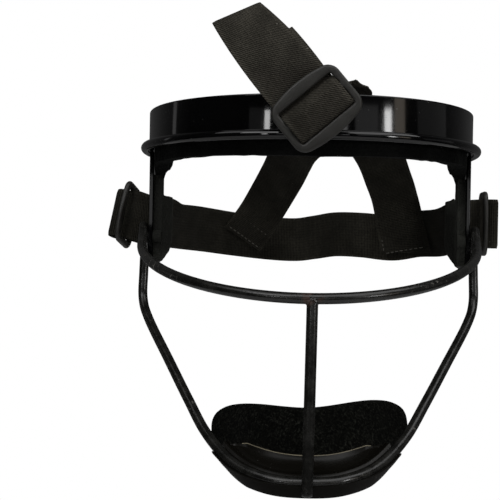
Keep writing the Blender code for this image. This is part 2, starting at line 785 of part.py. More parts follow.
def build_back_strap(material):
    """The elastic strap round the nape, out through both slots and back through both buckles."""
    left = list(reversed(loop_stations(-1)))
    stations = left + inner_stations() + loop_stations(1)
    return ribbon("back_strap", stations, BACK_STRAP_WIDTH, material)


def off_back_strap(place):
    """The place itself, or the nearest one ahead of it that lies on the inner side of the back strap."""
    points = [point for point, _ in inner_stations()]
    for left, right in zip(points, points[1:]):
        if left.x <= place.x <= right.x:
            slope = (right.y - left.y) / (right.x - left.x)
            gap = (STRAP_THICKNESS + 2 * CLEARANCE) * sqrt(1 + slope * slope)
            return Vector((place.x, min(place.y, left.y + slope * (place.x - left.x) - gap), place.z))
    return place


def brow_joint(layer):
    """Where a strap ends behind the brow: layer 0 is the lowest."""
    pitch = STRAP_THICKNESS + 2 * CLEARANCE
    return Vector((BROW_JOINT_SIDE, BROW_JOINT_BACK, BAND_TOP + pitch * (layer - 1)))


def tilted(degrees):
    """A direction across a strap, tilted up to the right."""
    return Vector((cos(radians(degrees)), 0, sin(radians(degrees))))


def build_crown_strap(label, seat, below, rows, end, material):
    """A strap sewn to the inner side of the back strap that runs up and forward to the brow."""
    start = off_back_strap(Vector((seat, SLOT_Y + BACK_STRAP_DEPTH, STRAP_Z - below)))
    stations = []
    for across, forward, up, tilt in smooth_rows(rows, 3):
        point = start + Matrix.Diagonal((across, forward, up)) @ (end - start)
        stations.append((point, tilted(tilt)))
    return ribbon("crown_strap_" + label, stations, CROWN_STRAP_WIDTH, material, off_back_strap, 3)


def top_buckle_frame():
    """The top buckle's middle, the direction along its bars and the strap's way up through it."""
    centre = Vector((TOP_BUCKLE_SIDE, BAND_FRONT_Y - TOP_BUCKLE_AHEAD, BAND_TOP - TOP_BUCKLE_BELOW))
    along = tilted(TOP_BUCKLE_SLOPE)
    return centre, along, Vector((-along.z, 0, along.x))


def tab_stations(layer, length):
    """A free end from behind the buckle's upper bar; layer 0 lies against the bar and layer 1 behind it."""
    centre, along, climb = top_buckle_frame()
    seat = (BUCKLE_THICKNESS + STRAP_THICKNESS) / 2 + CLEARANCE
    start = centre + climb * (BUCKLE_WIDTH - BUCKLE_BAR) / 2 + Vector((0, seat, 0))
    rise = radians(TAB_SLOPE)
    shear = tan(radians(TAB_CUT))
    count = 6
    stations = []
    for index in range(count + 1):
        share = length * index / count / TAB_LENGTH
        way = climb.lerp(Vector((-cos(rise), 0, sin(rise))), share).normalized()
        across = Matrix.Rotation(radians(TAB_TWIST) * share * share, 3, way) @ along
        behind = way.cross(across)
        point = start + way * TAB_LENGTH * share + Vector((0, TAB_LEAN * share * share, 0))
        point += behind * (STRAP_THICKNESS + TAIL_GAP) * layer + across * TAIL_SHIFT * layer
        stations.append((point, across - way * shear * share * share))
    return stations


def build_top_strap(material):
    """The strap over the band's top edge, round the top buckle's middle bar and up to its free end."""
    centre, along, climb = top_buckle_frame()
    seat = (BUCKLE_THICKNESS + STRAP_THICKNESS) / 2 + CLEARANCE
    joint = brow_joint(2)
    rear = joint.y + BROW_JOINT_LAP
    crest = BAND_TOP + TOP_STRAP_RISE
    stations = []
    for side, ahead, rise, tilt in TOP_STRAP_OVER:
        point = Vector((blend(centre.x, joint.x, side), blend(rear, centre.y + seat, ahead),
                        blend(centre.z, crest, rise)))
        stations.append((point, tilted(tilt)))
    for share, ahead in TOP_STRAP_LOOP:
        stations.append((centre + climb * BUCKLE_WIDTH / 2 * share - Vector((0, seat * ahead, 0)), along))
    stations += tab_stations(0, TAB_LENGTH)
    fine = smooth_rows([(*point, *across) for point, across in stations], 3)
    stations = [(Vector(row[:3]), Vector(row[3:])) for row in fine]
    return ribbon("top_strap", stations, TOP_STRAP_WIDTH, material)


def build_buckle(name, material, lean_matrix, centre):
    """A three-bar buckle: a rounded frame with bowed long sides and two slots."""
    half_length, half_width = BUCKLE_LENGTH / 2, BUCKLE_WIDTH / 2
    outline = rounded([(half_length * across, half_width * up, BUCKLE_CORNER)
                       for across, up in ((-1, -1), (1, -1), (1, 1), (-1, 1))], 5)
    bowed = []
    for index, point in enumerate(outline):
        bowed.append(point)
        after = outline[(index + 1) % len(outline)]
        if abs(point.y - after.y) < MERGE:
            bowed += [point.lerp(after, share / 8) for share in range(1, 8)]
    for point in bowed:
        share = point.x / half_length
        point.y += BUCKLE_BULGE * (1 - share * share) * (1 if point.y > 0 else -1)
    curve = bpy.data.curves.new(name, "CURVE")
    curve.dimensions = "2D"
    curve.fill_mode = "BOTH"
    curve.extrude = BUCKLE_THICKNESS / 2
    slot_width = (BUCKLE_WIDTH - 2 * BUCKLE_BAR - BUCKLE_CENTRE_BAR) / 2
    middle = (BUCKLE_CENTRE_BAR + slot_width) / 2
    half_slot = BUCKLE_SLOT / 2
    loops = [bowed]
    for sign in (-1, 1):
        low, high = sign * middle - slot_width / 2, sign * middle + slot_width / 2
        corners = [(-half_slot, low), (half_slot, low), (half_slot, high), (-half_slot, high)]
        loops.append(rounded([(*corner, BUCKLE_SLOT_CORNER) for corner in corners], 2))
    for loop in loops:
        spline = curve.splines.new("POLY")
        spline.points.add(len(loop) - 1)
        spline.use_cyclic_u = True
        for point, place in zip(spline.points, loop):
            point.co = (place.x, place.y, 0.0, 1.0)
    source = bpy.data.objects.new(name + "_outline", curve)
    collection(COLLECTION).objects.link(source)
    source.matrix_world = Matrix.Translation(centre) @ lean_matrix
    return as_mesh(source, name, material)


def build_side_buckle(side, label, material):
    """A side buckle: its length stands up and its width runs back beside the head."""
    lean = -side * radians(LEFT_BUCKLE_LEAN if side < 0 else 0.0)
    upright = Matrix(((0, 0, 1), (0, 1, 0), (-1, 0, 0))).to_4x4()
    splay = Matrix.Rotation(side * radians(SIDE_BUCKLE_SPLAY), 4, "Z")
    return build_buckle("triglide_" + label, material, Matrix.Rotation(lean, 4, "Y") @ splay @ upright,
                        buckle_place(side))


def build_top_buckle(material):
    """The top buckle, tilted in front of the band."""
    centre, along, climb = top_buckle_frame()
    tilt = Matrix((along, climb, along.cross(climb))).transposed().to_4x4()
    return build_buckle("triglide_top", material, tilt, centre)


def main():
    """Build every piece."""
    clear_scene()
    gloss = finish("gloss_black", (0.012, 0.012, 0.013), 0.12)
    foam = finish("black_foam", (0.016, 0.016, 0.016), 0.85)
    coated = finish("coated_wire", (0.014, 0.014, 0.013), 0.25)
    metal = finish("cap_metal", (0.25, 0.25, 0.25), 0.35, 1.0)
    loop_cloth = finish("loop_cloth", (0.018, 0.018, 0.018), 0.95)
    webbing = finish("elastic_webbing", (0.020, 0.019, 0.016), 0.8)
    plastic = finish("satin_plastic", (0.030, 0.029, 0.027), 0.45)
    build_band(gloss)
    build_brow_pad(foam)
    for side, label in ((-1, "left"), (1, "right")):
        build_side_pad(side, label, foam)
        build_stud_cap(side, label, metal)
        build_side_buckle(side, label, plastic)
    build_cage(coated)
    build_chin_cup(gloss)
    build_chin_pad(loop_cloth)
    build_back_strap(webbing)
    build_crown_strap("left", CROWN_LEFT_SEAT, CROWN_LEFT_BELOW, CROWN_LEFT, brow_joint(0), webbing)
    build_crown_strap("right", CROWN_RIGHT_SEAT, CROWN_RIGHT_BELOW, CROWN_RIGHT, brow_joint(1), webbing)
    build_top_strap(webbing)
    ribbon("top_strap_tail", tab_stations(1, TAIL_LENGTH), TOP_STRAP_WIDTH, webbing)
    build_top_buckle(plastic)


if __name__ == "__main__":
    main()
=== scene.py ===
"""The looks of a softball fielder mask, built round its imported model: band, pads, wires, cup and straps.

Run as a script in Blender 4.5. Metres, +Z up; +X is to the right of someone facing the mask, +Y runs back
towards the nape, and the origin is the middle of the brow pad's inner face.
"""

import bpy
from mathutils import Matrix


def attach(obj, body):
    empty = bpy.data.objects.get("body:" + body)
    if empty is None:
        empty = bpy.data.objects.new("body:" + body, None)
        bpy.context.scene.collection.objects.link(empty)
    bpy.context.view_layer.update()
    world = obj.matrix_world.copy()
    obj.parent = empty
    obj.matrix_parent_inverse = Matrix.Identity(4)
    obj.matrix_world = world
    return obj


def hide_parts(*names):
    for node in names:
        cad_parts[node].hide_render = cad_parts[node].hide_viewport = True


bl_info = {
    "name": "Softball fielder mask",
    "version": (1, 0, 0),
    "blender": (4, 5, 0),
    "location": "3D View > Sidebar > Mask",
    "description": "Builds a softball fielder mask piece by piece, with its finishes and a small studio",
    "category": "Add Mesh",
}

from math import acos, atan2, cos, pi, radians, sin, sqrt, tan

import bmesh
import bpy
from bpy.props import FloatProperty, FloatVectorProperty, PointerProperty
from mathutils import Matrix, Vector, noise

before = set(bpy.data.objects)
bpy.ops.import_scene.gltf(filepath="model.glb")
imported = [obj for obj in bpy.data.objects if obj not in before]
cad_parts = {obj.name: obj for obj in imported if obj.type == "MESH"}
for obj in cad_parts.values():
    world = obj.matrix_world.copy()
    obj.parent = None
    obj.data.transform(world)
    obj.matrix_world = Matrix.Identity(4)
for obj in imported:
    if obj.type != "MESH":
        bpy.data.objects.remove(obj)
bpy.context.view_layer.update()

# Fits
CLEARANCE = 0.0003
MERGE = 0.00001

# Round forms: the turns of a domed end in degrees, and the sides of a circle
DOME_TURNS = (82, 62, 42, 22)
CIRCLE_SIDES = 28

# Band and its bead
BAND_WIDTH = 0.190
BAND_DEPTH = 0.123
BAND_ROUNDNESS = 2.16
BAND_TAIL = 0.008
BAND_WALL = 0.0025
BAND_TOP = 0.0173
BEAD_CENTRE_Z = -0.0035
BEAD_SINK = 0.0004

# Brow pad
PAD_THICKNESS = 0.010
PAD_HEIGHT = 0.0272
PAD_CORNER = 0.0018
SHOULDER_LENGTH = 0.028
SHOULDER_DROP = 0.0085
SHOULDER_CUT = 0.0060
SHOULDER_CUT_HEIGHT = 0.0136
PAD_BACK = 0.0030
PAD_LIFT = 0.0009

# Side arms and plates
ARM_WALL = 0.0020
ARM_WIDTH = 0.0135
ARM_FRONT_AHEAD = 0.0107
PLATE_LENGTH = 0.0530
PLATE_TOP = -0.0220
PLATE_REAR_HEIGHT = 0.0480
PLATE_FRONT_HEIGHT = 0.0505
PLATE_FRONT_LENGTH = 0.0159
PLATE_CORNER = 0.0060
SLOT_WIDTH = 0.0050
SLOT_REAR_WEB = 0.0050
SLOT_SPARE = 0.0024

# Side pads
SIDE_PAD_THICKNESS = 0.0048
SIDE_PAD_INSET = 0.0030
SIDE_PAD_TOP_GAP = 0.0080
SIDE_PAD_SLOT_GAP = 0.0020
SIDE_PAD_BROAD_HEIGHT = 0.0310
SIDE_PAD_FRONT_LENGTH = 0.0080
SIDE_PAD_STEP_RADIUS = 0.0015
SIDE_PAD_SWELL = 0.0028
SIDE_PAD_TOP_RISE = 0.0034
SIDE_PAD_EDGE = 0.0012
SIDE_PAD_CUTS = 12
SIDE_PAD_SWELL_START = -0.0010
SIDE_PAD_SWELL_LENGTH = 0.0050
SIDE_PAD_TIP_TAPER = 0.0160

# Wire cage
CAGE_SIDE_GAP = 0.0009
CHEEK_AHEAD = 0.0269
CHEEK_DROP = 0.1006
CHEEK_END_TURN = 86.8
CHEEK_END_BACK = 0.0045
CHEEK_END_BELOW = 0.0262
CHEEK_END_RISE = 0.0076
CHEEK_RISE_LENGTH = 0.028
CHIN_BEHIND_CHEEK = 0.0027
CHIN_DROP = 0.1215
CHIN_SWAY = 0.0007
CHIN_TOP_SINK = 0.0015
NOSE_AHEAD = 0.0034
NOSE_BELOW_CHIN = 0.0050
NOSE_LEAN = 0.0012
STUD_RADIUS = 0.0018
STUD_BELOW_END = 0.0065
STUD_PROUD = 0.0022
CAP_RADIUS = 0.0036
CAP_HEIGHT = 0.0024
WASHER_RADIUS = 0.0029
WASHER_FACES = (0.0001, 0.0006)
CHEEK_TURNS = 150
NOSE_FOOT_LEAN = 0.0003
WELD_UNEVENNESS = 0.16

# Chin cup and pad
CUP_HALF_SPAN = 0.0445
CUP_SKIRT_SPAN = 0.0430
CUP_RIM_SPAN = 0.0420
CUP_RISE = 0.0102
CUP_RIM_CURVE = 0.0038
CUP_WALL = 0.0018
CUP_BACK = 0.0160
CUP_STATIONS = 72
CUP_GRIP_GAP = 0.00025
CUP_CLIP_WALL = 0.0009
CUP_CLIP_REACH = 0.0050
CUP_END_REACH = 0.0062
CUP_END_RISE = 0.0036
CUP_SHELF_TURN = 0.15
CUP_SKIRT_SHIFT = 0.0015
CUP_SKIRT_FADE = 0.0130
CUP_RIM_FADE = 0.0070
# Half the span of the rim's lip that wears the painted highlight
CUP_PAINTED_HIGHLIGHT_SPAN = 0.0320
CHIN_PAD_HALF_SPAN = 0.0510
CHIN_PAD_ROLL = 2.9
CHIN_PAD_SHIFT = (0.0017, 0.0012)
CHIN_PAD_HEIGHT = 0.0350
CHIN_PAD_THICKNESS = 0.0085
CHIN_PAD_BOW = 0.0450
CHIN_PAD_BEND = 1.38
CHIN_PAD_LEAN = 0.0070
CHIN_PAD_BELOW_RIM = 0.0150
CHIN_PAD_GAP = 0.0066
CHIN_PAD_ROUNDNESS = 2.9
CHIN_PAD_STEPS = 112
CHIN_PAD_GRID = 0.0016
CHIN_PAD_CROWN = 0.0008
CHIN_PAD_DIP = 0.0011
CHIN_PAD_END_RISE = 0.0003

# Places in the cup's section: where the skirt's rows end and how many are left at the close, and the rim's first
CUP_SKIRT_ROWS = (6, 5)
CUP_LIP_START = 27

# Waves in soft surfaces: how close, and how deep
PAD_WAVES = (95, 0.0005)
PAD_RIPPLES = (140, 0.0004)
SIDE_PAD_WAVES = (130, 0.0003)
CHIN_PAD_WAVES = (160, 0.00025)

# Straps and buckles
RIBBON_COLUMNS = 14
SELVEDGE_ROUNDING = 0.28
BACK_STRAP_WIDTH = 0.0310
CROWN_STRAP_WIDTH = 0.0305
TOP_STRAP_WIDTH = 0.0325
STRAP_DROP = 0.0220
BACK_STRAP_DEPTH = 0.108
BACK_STRAP_SAG = 0.0120
BUCKLE_LENGTH = 0.0406
BUCKLE_WIDTH = 0.0240
BUCKLE_THICKNESS = 0.0030
BUCKLE_BAR = 0.0035
BUCKLE_CENTRE_BAR = 0.0030
BUCKLE_SLOT = 0.0324
SIDE_BUCKLE_SLOT = 0.0313
BUCKLE_SLOT_CORNER = 0.0010
BUCKLE_BULGE = 0.0032
BUCKLE_CORNER = 0.0050
SIDE_BUCKLE_BACK = 0.0095
CROWN_LEFT_SEAT = (-0.0455, 0.0110)
CROWN_RIGHT_SEAT = (0.0657, 0.0184)
BROW_JOINT_SIDE = 0.0150
BROW_JOINT_BACK = 0.0200
BROW_JOINT_LAP = 0.0140
TOP_STRAP_RISE = 0.0034
TOP_BUCKLE_SIDE = 0.0011
TOP_BUCKLE_AHEAD = 0.0112
TOP_BUCKLE_BELOW = 0.0083
TOP_BUCKLE_SLOPE = 40.4
TOP_BUCKLE_GROWTH = 0.0019
TAB_STATIONS = 6
TAB_LENGTH = 0.0500
TAB_SLOPE = 52.0
TAB_TWIST = 36.0
TAB_CUT = 7.0
TAB_DRIFT = 0.0022
TAB_LEAN = 0.0064
TAIL_LENGTH = 0.0290
TAIL_SHIFT = 0.0050
TAIL_GAP = 0.0009
TWILL_SLANT = 50.0

# The two sides of the mask
SIDES = ((-1, "left"), (1, "right"))

# Where things meet
BAND_FRONT_Y = -PAD_THICKNESS - CLEARANCE - BAND_WALL
TEMPLE_Y = BAND_FRONT_Y + BAND_DEPTH
ARM_OUTER_X = BAND_WIDTH / 2
ARM_INNER_X = ARM_OUTER_X - ARM_WALL
ARM_FRONT_Y = TEMPLE_Y - ARM_FRONT_AHEAD
ARM_REAR_Y = ARM_FRONT_Y + ARM_WIDTH
PLATE_REAR_Y = ARM_FRONT_Y + PLATE_LENGTH
SLOT_Y = PLATE_REAR_Y - SLOT_REAR_WEB - SLOT_WIDTH / 2
STRAP_Z = PLATE_TOP - STRAP_DROP
CHEEK_FRONT_Y = BAND_FRONT_Y - CHEEK_AHEAD
CHEEK_FRONT_Z = BAND_TOP - CHEEK_DROP
CHEEK_END_Y = ARM_FRONT_Y + CHEEK_END_BACK
CHEEK_END_Z = PLATE_TOP - CHEEK_END_BELOW
CHEEK_DEPTH = (CHEEK_END_Y - CHEEK_FRONT_Y) / (1 - cos(radians(CHEEK_END_TURN)))
CHEEK_SLOPE = (CHEEK_END_Z - CHEEK_END_RISE - CHEEK_FRONT_Z) / (CHEEK_END_Y - CHEEK_FRONT_Y)
CHIN_FRONT_Y = CHEEK_FRONT_Y + CHIN_BEHIND_CHEEK

# The camera: its place, its turn about X, Y and Z in degrees, and its lens in millimetres
CAMERA_PLACE = (-0.0066, -0.590, -0.057)
CAMERA_LEVEL = -0.4
CAMERA_ROLL = -1.007
CAMERA_HEADING = 2.309
CAMERA_LENS = 83.74

# Studio: the middle of the lights' ring, the floor, and the room's light by how far behind the mask it comes from
LIGHTS_CENTRE = (0.0, 0.05, -0.04)
FLOOR_CENTRE = (0.0, 0.1, -0.55)
FLOOR_RADIUS = 1.15
FLOOR_SHADE = (0.80, 0.80, 0.80)
ROOM_LIGHT = {1: 0.15, 2: 0.80, 3: 0.020, 4: 1.10}
WHITE = (1.0, 1.0, 1.0)

# Lights: heading, rise, width and height in degrees, then distance, strength and colour
LIGHTS = (
    ("strip_right", 55.5, 7, 6, 12, 2.2, 15, WHITE),
    ("strip_near_left", -29.5, 7, 4, 11, 2.2, 10, WHITE),
    ("strip_near_right", 20.5, 6, 5, 9, 2.2, 1.5, WHITE),
    ("front", -3.0, 7, 36, 14, 2.4, 0.7, WHITE),
    ("fill_right", 38.0, 7, 18, 14, 2.4, 0.35, WHITE),
    ("warm_right", 66.0, 8, 9, 20, 2.4, 1.1, (1.0, 0.88, 0.74)),
    ("rim_right", 98.0, 8, 30, 20, 2.4, 0.10, WHITE),
    ("faint_left", -117.0, 8, 4, 20, 2.3, 0.3, WHITE),
    ("overhead_left", -42.0, 58, 60, 34, 1.8, 0.9, WHITE),
    ("overhead_right", 48.0, 58, 70, 34, 1.8, 1.7, WHITE),
    ("key", 45.0, 34, 26, 14, 2.2, 1.4, WHITE),
    ("upper_left", -35.0, 40, 30, 20, 2.2, 3.0, WHITE),
    ("glow_left", -38.0, 7, 12, 12, 2.4, 0.12, WHITE),
)

# Brow pad corner: inwards, upwards
SHOULDER_CORNER = ((0.00, 1.00), (0.12, 0.72), (0.34, 0.52), (0.55, 0.47), (0.75, 0.36), (0.90, 0.16), (1.00, 0.00))

# Chin wire: across, forward, drop
CHIN_WIRE = (
    (0.985, 0.000, 0.000), (0.988, 0.033, 0.210), (0.984, 0.057, 0.345), (0.928, 0.152, 0.440),
    (0.775, 0.366, 0.602), (0.635, 0.552, 0.752), (0.514, 0.706, 0.872), (0.362, 0.862, 0.960),
    (0.190, 0.968, 0.994), (0.000, 1.000, 1.000),
)

# Nose bar: forward, drop
NOSE_BEND = ((0.00, 0.00), (0.34, 0.03), (0.70, 0.10), (0.93, 0.19), (1.00, 0.30))

# Back strap: across, back, sag, twist in degrees
BACK_STRAP = (
    (-0.975, -0.005, 0.02, 0), (-0.950, 0.060, 0.14, 12), (-0.940, 0.180, 0.26, 26), (-0.895, 0.440, 0.30, 20),
    (-0.770, 0.690, 0.40, 8), (-0.560, 0.880, 0.62, 2), (-0.290, 0.975, 0.84, 0), (-0.085, 0.985, 0.90, 0),
    (0.065, 0.900, 0.74, 0), (0.220, 0.790, 0.55, 0), (0.410, 0.690, 0.58, 0), (0.620, 0.600, 0.72, 0),
    (0.790, 0.460, 0.48, -4), (0.900, 0.250, 0.42, -8), (0.940, 0.070, 0.26, -6), (0.975, -0.005, 0.02, 0),
)

# Crown straps: across, forward, up, tilt
CROWN_LEFT = (
    (0.000, 0.000, 0.000, -34), (0.125, 0.008, 0.156, -33), (0.242, 0.028, 0.312, -32),
    (0.463, 0.174, 0.619, -30), (0.550, 0.289, 0.755, -30), (0.625, 0.460, 0.835, -31),
    (0.790, 0.660, 0.895, -18), (0.950, 0.865, 0.945, -5), (1.000, 1.000, 1.000, 0),
)
CROWN_RIGHT = (
    (0.000, 0.000, 0.000, -3), (0.062, 0.010, 0.200, 10), (0.148, 0.044, 0.455, 14),
    (0.265, 0.105, 0.630, 16), (0.383, 0.180, 0.776, 17), (0.570, 0.380, 0.880, 15),
    (0.750, 0.620, 0.950, 8), (0.920, 0.850, 0.985, 3), (1.000, 1.000, 1.000, 0),
)

# Seams at a crown strap's sewn end: each from and to, as (share of the width, distance from the end)
CROWN_LEFT_SEAMS = (((-0.42, 0.0018), (0.42, 0.0018)), ((-0.42, 0.0125), (0.42, 0.0125)))
CROWN_RIGHT_SEAMS = (((-0.40, 0.0016), (0.40, 0.0016)), ((-0.43, 0.0030), (-0.43, 0.0240)))
STITCH_PITCH = 1.9
STITCH_RADIUS = 0.00034
STITCH_PROUD = 0.00012
STITCH_SINK = 0.00028

# Top strap over the band: side, ahead, rise, tilt; and round the buckle's middle bar: climb, ahead
TOP_STRAP_OVER = (
    (1.000, 0.000, 0.818, 0), (1.000, 0.253, 0.818, 0), (0.920, 0.469, 0.860, 0), (0.685, 0.614, 0.965, 3),
    (0.450, 0.722, 1.000, 5), (0.280, 0.842, 0.900, 13), (0.195, 0.915, 0.520, 26), (0.165, 0.949, 0.114, 36),
)
TOP_STRAP_LOOP = (
    (-0.480, -1.15), (-0.700, -0.62), (-0.790, 0.00), (-0.700, 0.66), (-0.440, 0.98), (0.000, 1.06),
    (0.170, 0.98), (0.433, 0.00), (0.620, -0.85),
)

# Side buckles, left and right: out from the plate, raised, lean, pitch and splay in degrees, reach of the strap
SIDE_BUCKLES = {-1: (0.0215, 0.0030, 9.0, 15.5, 12.5, 0.62), 1: (0.0172, 0.0010, 0.0, 0.0, -1.5, 0.70)}

# Strap outside a plate: out, behind, lean
SIDE_LOOP = (
    (0.10, -0.40, 0.0), (0.36, -0.39, 0.1), (0.70, -0.30, 0.6), (1.00, -0.12, 1.0), (1.42, -0.19, 1.0),
    (1.66, -0.08, 1.0), (1.57, 0.12, 1.0), (1.30, 0.18, 1.0), (1.00, 0.12, 1.0), (0.74, 0.29, 0.9),
    (0.52, 0.52, 0.8), (0.38, 0.80, 0.8),
)


def colour(label, text, value):
    """A colour that a user can change."""
    return FloatVectorProperty(name=label, description=text, subtype="COLOR", size=3, min=0.0, max=1.0,
                               default=value)


def length(label, text, value):
    """A length that a user can change."""
    return FloatProperty(name=label, description=text, default=value, min=0.0, unit="LENGTH", precision=4)


class MaskSizes(bpy.types.PropertyGroup):
    """Sizes of the mask's finer forms."""

    bead_radius: length("Bead radius", "Radius of the rolled bead under the band", 0.0026)
    band_edge: length("Band edge", "Rounding of the band's top edge", 0.0008)
    plate_edge: length("Plate edge", "Rounding of the arms' and plates' edges", 0.0009)
    wire_radius: length("Wire radius", "Radius of the coated wire", 0.0027)
    strap_thickness: length("Strap thickness", "Thickness of the elastic straps", 0.0016)
    rib_pitch: length("Rib pitch", "Distance from one cross rib of the straps to the next", 0.00115)
    buckle_edge: length("Buckle edge", "Rounding of the buckles' bars", 0.0014)
    stitch_length: length("Stitch length", "Length of one stitch", 0.0016)
    pad_edge: length("Pad edge", "Rounding of the chin pad's edge", 0.0032)


class MaskColours(bpy.types.PropertyGroup):
    """Colours of the mask's finishes."""

    gloss: colour("Gloss plastic", "Colour of the band, plates and cup", (0.0028, 0.0028, 0.0030))
    foam: colour("Foam", "Colour of the brow pad", (0.0040, 0.0042, 0.0040))
    wire: colour("Wire coating", "Colour of the coated wire", (0.0075, 0.0074, 0.0066))
    # Painted light: the side pads wear the brow pad's foam about four times lighter, standing in for the light on
    # their inner faces.
    side_foam: colour("Side foam", "Colour of the side pads", (0.0170, 0.0175, 0.0155))
    cloth: colour("Loop cloth", "Colour of the chin pad's cloth", (0.0050, 0.0052, 0.0043))
    webbing: colour("Webbing", "Colour of the elastic straps", (0.0340, 0.0320, 0.0255))
    twill: colour("Twill", "Colour of the top strap", (0.0640, 0.0590, 0.0480))
    cup_shelf: colour("Cup shelf", "Colour of the chin cup's worn shelf", (0.0042, 0.0037, 0.0026))
    buckle: colour("Buckle plastic", "Colour of the slide buckles", (0.0140, 0.0133, 0.0112))
    metal: colour("Metal", "Colour of the studs' push caps", (0.35, 0.35, 0.34))
    thread: colour("Thread", "Colour of the stitching", (0.050, 0.047, 0.040))
    floor: colour("Floor", "Colour of the studio floor", (0.86, 0.86, 0.86))


def scaled(tone, share):
    """A colour made lighter or darker."""
    return tuple(value * share for value in tone)


def kept(value):
    """The value kept between 0 and 1."""
    return min(max(value, 0.0), 1.0)


def mask_settings(context):
    """The scene's sizes and colours for the mask."""
    return context.scene.mask_sizes, context.scene.mask_colours


def blend(start, end, share):
    """The value that lies that share of the way from start to end."""
    return start + (end - start) * share


def smooth_rows(rows, steps):
    """Rows of numbers read more finely from a smooth curve through them."""
    fine = []
    last = len(rows) - 1
    for index in range(last):
        before = rows[max(index - 1, 0)]
        start, end = rows[index], rows[index + 1]
        after = rows[min(index + 2, last)]
        for step in range(steps):
            share = step / steps
            fine.append(tuple(
                0.5 * (2 * b + (c - a) * share + (2 * a - 5 * b + 4 * c - d) * share ** 2
                       + (3 * b - a - 3 * c + d) * share ** 3)
                for a, b, c, d in zip(before, start, end, after)))
    fine.append(tuple(rows[-1]))
    return fine


def rounded(corners, steps=6):
    """A closed outline whose corners, each (a, b, radius), are arcs."""
    outline = []
    for index, (a, b, radius) in enumerate(corners):
        here = Vector((a, b))
        beside = [Vector(corners[(index + way) % len(corners)][:2]) for way in (-1, 1)]
        towards = [(corner - here).normalized() for corner in beside]
        if radius <= 0:
            outline.append(here)
            continue
        half = towards[0].angle(towards[1]) / 2
        centre = here + (towards[0] + towards[1]).normalized() * radius / sin(half)
        arms = [here + way * radius / tan(half) - centre for way in towards]
        turn = arms[0].angle_signed(arms[1])
        for step in range(steps + 1):
            outline.append(centre + Matrix.Rotation(-turn * step / steps, 2) @ arms[0])
    return outline


def loft(rings, build=None):
    """A skin through like rings: the first is filled and each next one is extruded from it.

    Returns the bmesh and, for each vertex, the numbers of its ring and of its place in the ring.
    """
    build = build or bmesh.new()
    corners = [build.verts.new(point) for point in rings[0]]
    outline = [build.edges.new((corner, corners[index - 1])) for index, corner in enumerate(corners)]
    face = bmesh.ops.contextual_create(build, geom=outline)["faces"][0]
    order = [corners.index(vert) for vert in face.verts]
    where = {vert: (0, place) for vert, place in zip(face.verts, order)}
    for index, ring in enumerate(rings[1:]):
        start = face
        grown = bmesh.ops.extrude_face_region(build, geom=[start])["geom"]
        face = next(item for item in grown if isinstance(item, bmesh.types.BMFace))
        for vert, place in zip(face.verts, order):
            vert.co = ring[place]
            where[vert] = (index + 1, place)
        if index:
            build.faces.remove(start)
    return build, where


def smooth_stations(stations, steps):
    """Stations of a strap, each a point and a direction across, read more finely."""
    rows = smooth_rows([(*point, *across) for point, across in stations], steps)
    return [(Vector(row[:3]), Vector(row[3:])) for row in rows]


def directions(points):
    """The way along a line at each of its points."""
    last = len(points) - 1
    return [(points[min(index + 1, last)] - points[max(index - 1, 0)]).normalized()
            for index in range(last + 1)]


def tube(points, radius, build=None, sides=CIRCLE_SIDES, dome=1.0):
    """A round wire along the points with domed ends, whose height is the dome's share of the radius."""
    ways = directions(points)
    across = ways[0].orthogonal().normalized()
    stations = []
    for point, way in zip(points, ways):
        across = (across - way * across.dot(way)).normalized()
        stations.append((point, way, across))

    def ring(point, way, side, size=radius):
        up = way.cross(side)
        return [point + (side * cos(2 * pi * step / sides) + up * sin(2 * pi * step / sides)) * size
                for step in range(sides)]

    def end(station, outward):
        """The rings of a domed end, from its tip to the wire."""
        point, way, side = station
        return [ring(point + way * outward * radius * dome * sin(turn), way, side,
                     radius * (1 - dome + dome * cos(turn)))
                for turn in map(radians, DOME_TURNS)]

    middle = [ring(*station) for station in stations]
    return loft(end(stations[0], -1) + middle + end(stations[-1], 1)[::-1], build)[0]


def plate(loops, thickness, edge, segments=3, filled=False):
    """A flat plate round its holes in the XY plane, with every edge of both faces rounded."""
    build = bmesh.new()
    rims = []
    for loop in loops:
        corners = [build.verts.new((point[0], point[1], -thickness / 2)) for point in loop]
        rims += [build.edges.new((corner, corners[index - 1])) for index, corner in enumerate(corners)]
    if filled:
        bmesh.ops.contextual_create(build, geom=rims)
    else:
        bmesh.ops.triangle_fill(build, use_beauty=True, edges=rims)
    grown = bmesh.ops.extrude_face_region(build, geom=list(build.faces))["geom"]
    raised = [item for item in grown if isinstance(item, bmesh.types.BMVert)]
    bmesh.ops.translate(build, verts=raised, vec=(0, 0, thickness))
    bmesh.ops.recalc_face_normals(build, faces=build.faces)
    sharp = [item for item in build.edges if item.calc_face_angle(0.0) > radians(60)]
    bmesh.ops.bevel(build, geom=sharp, offset=edge, affect="EDGES", segments=segments, profile=0.5, material=-1,
                    clamp_overlap=True)
    return build


def stand_up(build, side, middle_x):
    """Turn a plate drawn as (back, height) to stand beside the head at that distance from the middle."""
    bmesh.ops.transform(build, verts=build.verts, matrix=Matrix((
        (0, 0, 1, side * middle_x), (1, 0, 0, 0), (0, 1, 0, 0), (0, 0, 0, 1))))
    return build


def piece(name, build, finish, nodes=(), angle=40):
    """The finished mesh as a closed piece that rides on the mask and stands for its CAD nodes."""
    bmesh.ops.recalc_face_normals(build, faces=build.faces)
    if build.calc_volume(signed=True) < 0:
        bmesh.ops.reverse_faces(build, faces=build.faces)
    if any(not item.is_manifold for item in build.edges):
        raise RuntimeError(name + " isn't closed")
    mesh = bpy.data.meshes.new(name)
    build.to_mesh(mesh)
    build.free()
    made = bpy.data.objects.new(name, mesh)
    bpy.context.scene.collection.objects.link(made)
    mesh.materials.append(finish)
    mesh.shade_smooth()
    mesh.set_sharp_from_angle(angle=radians(angle))
    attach(made, "root")
    if nodes:
        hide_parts(*nodes)
    return made


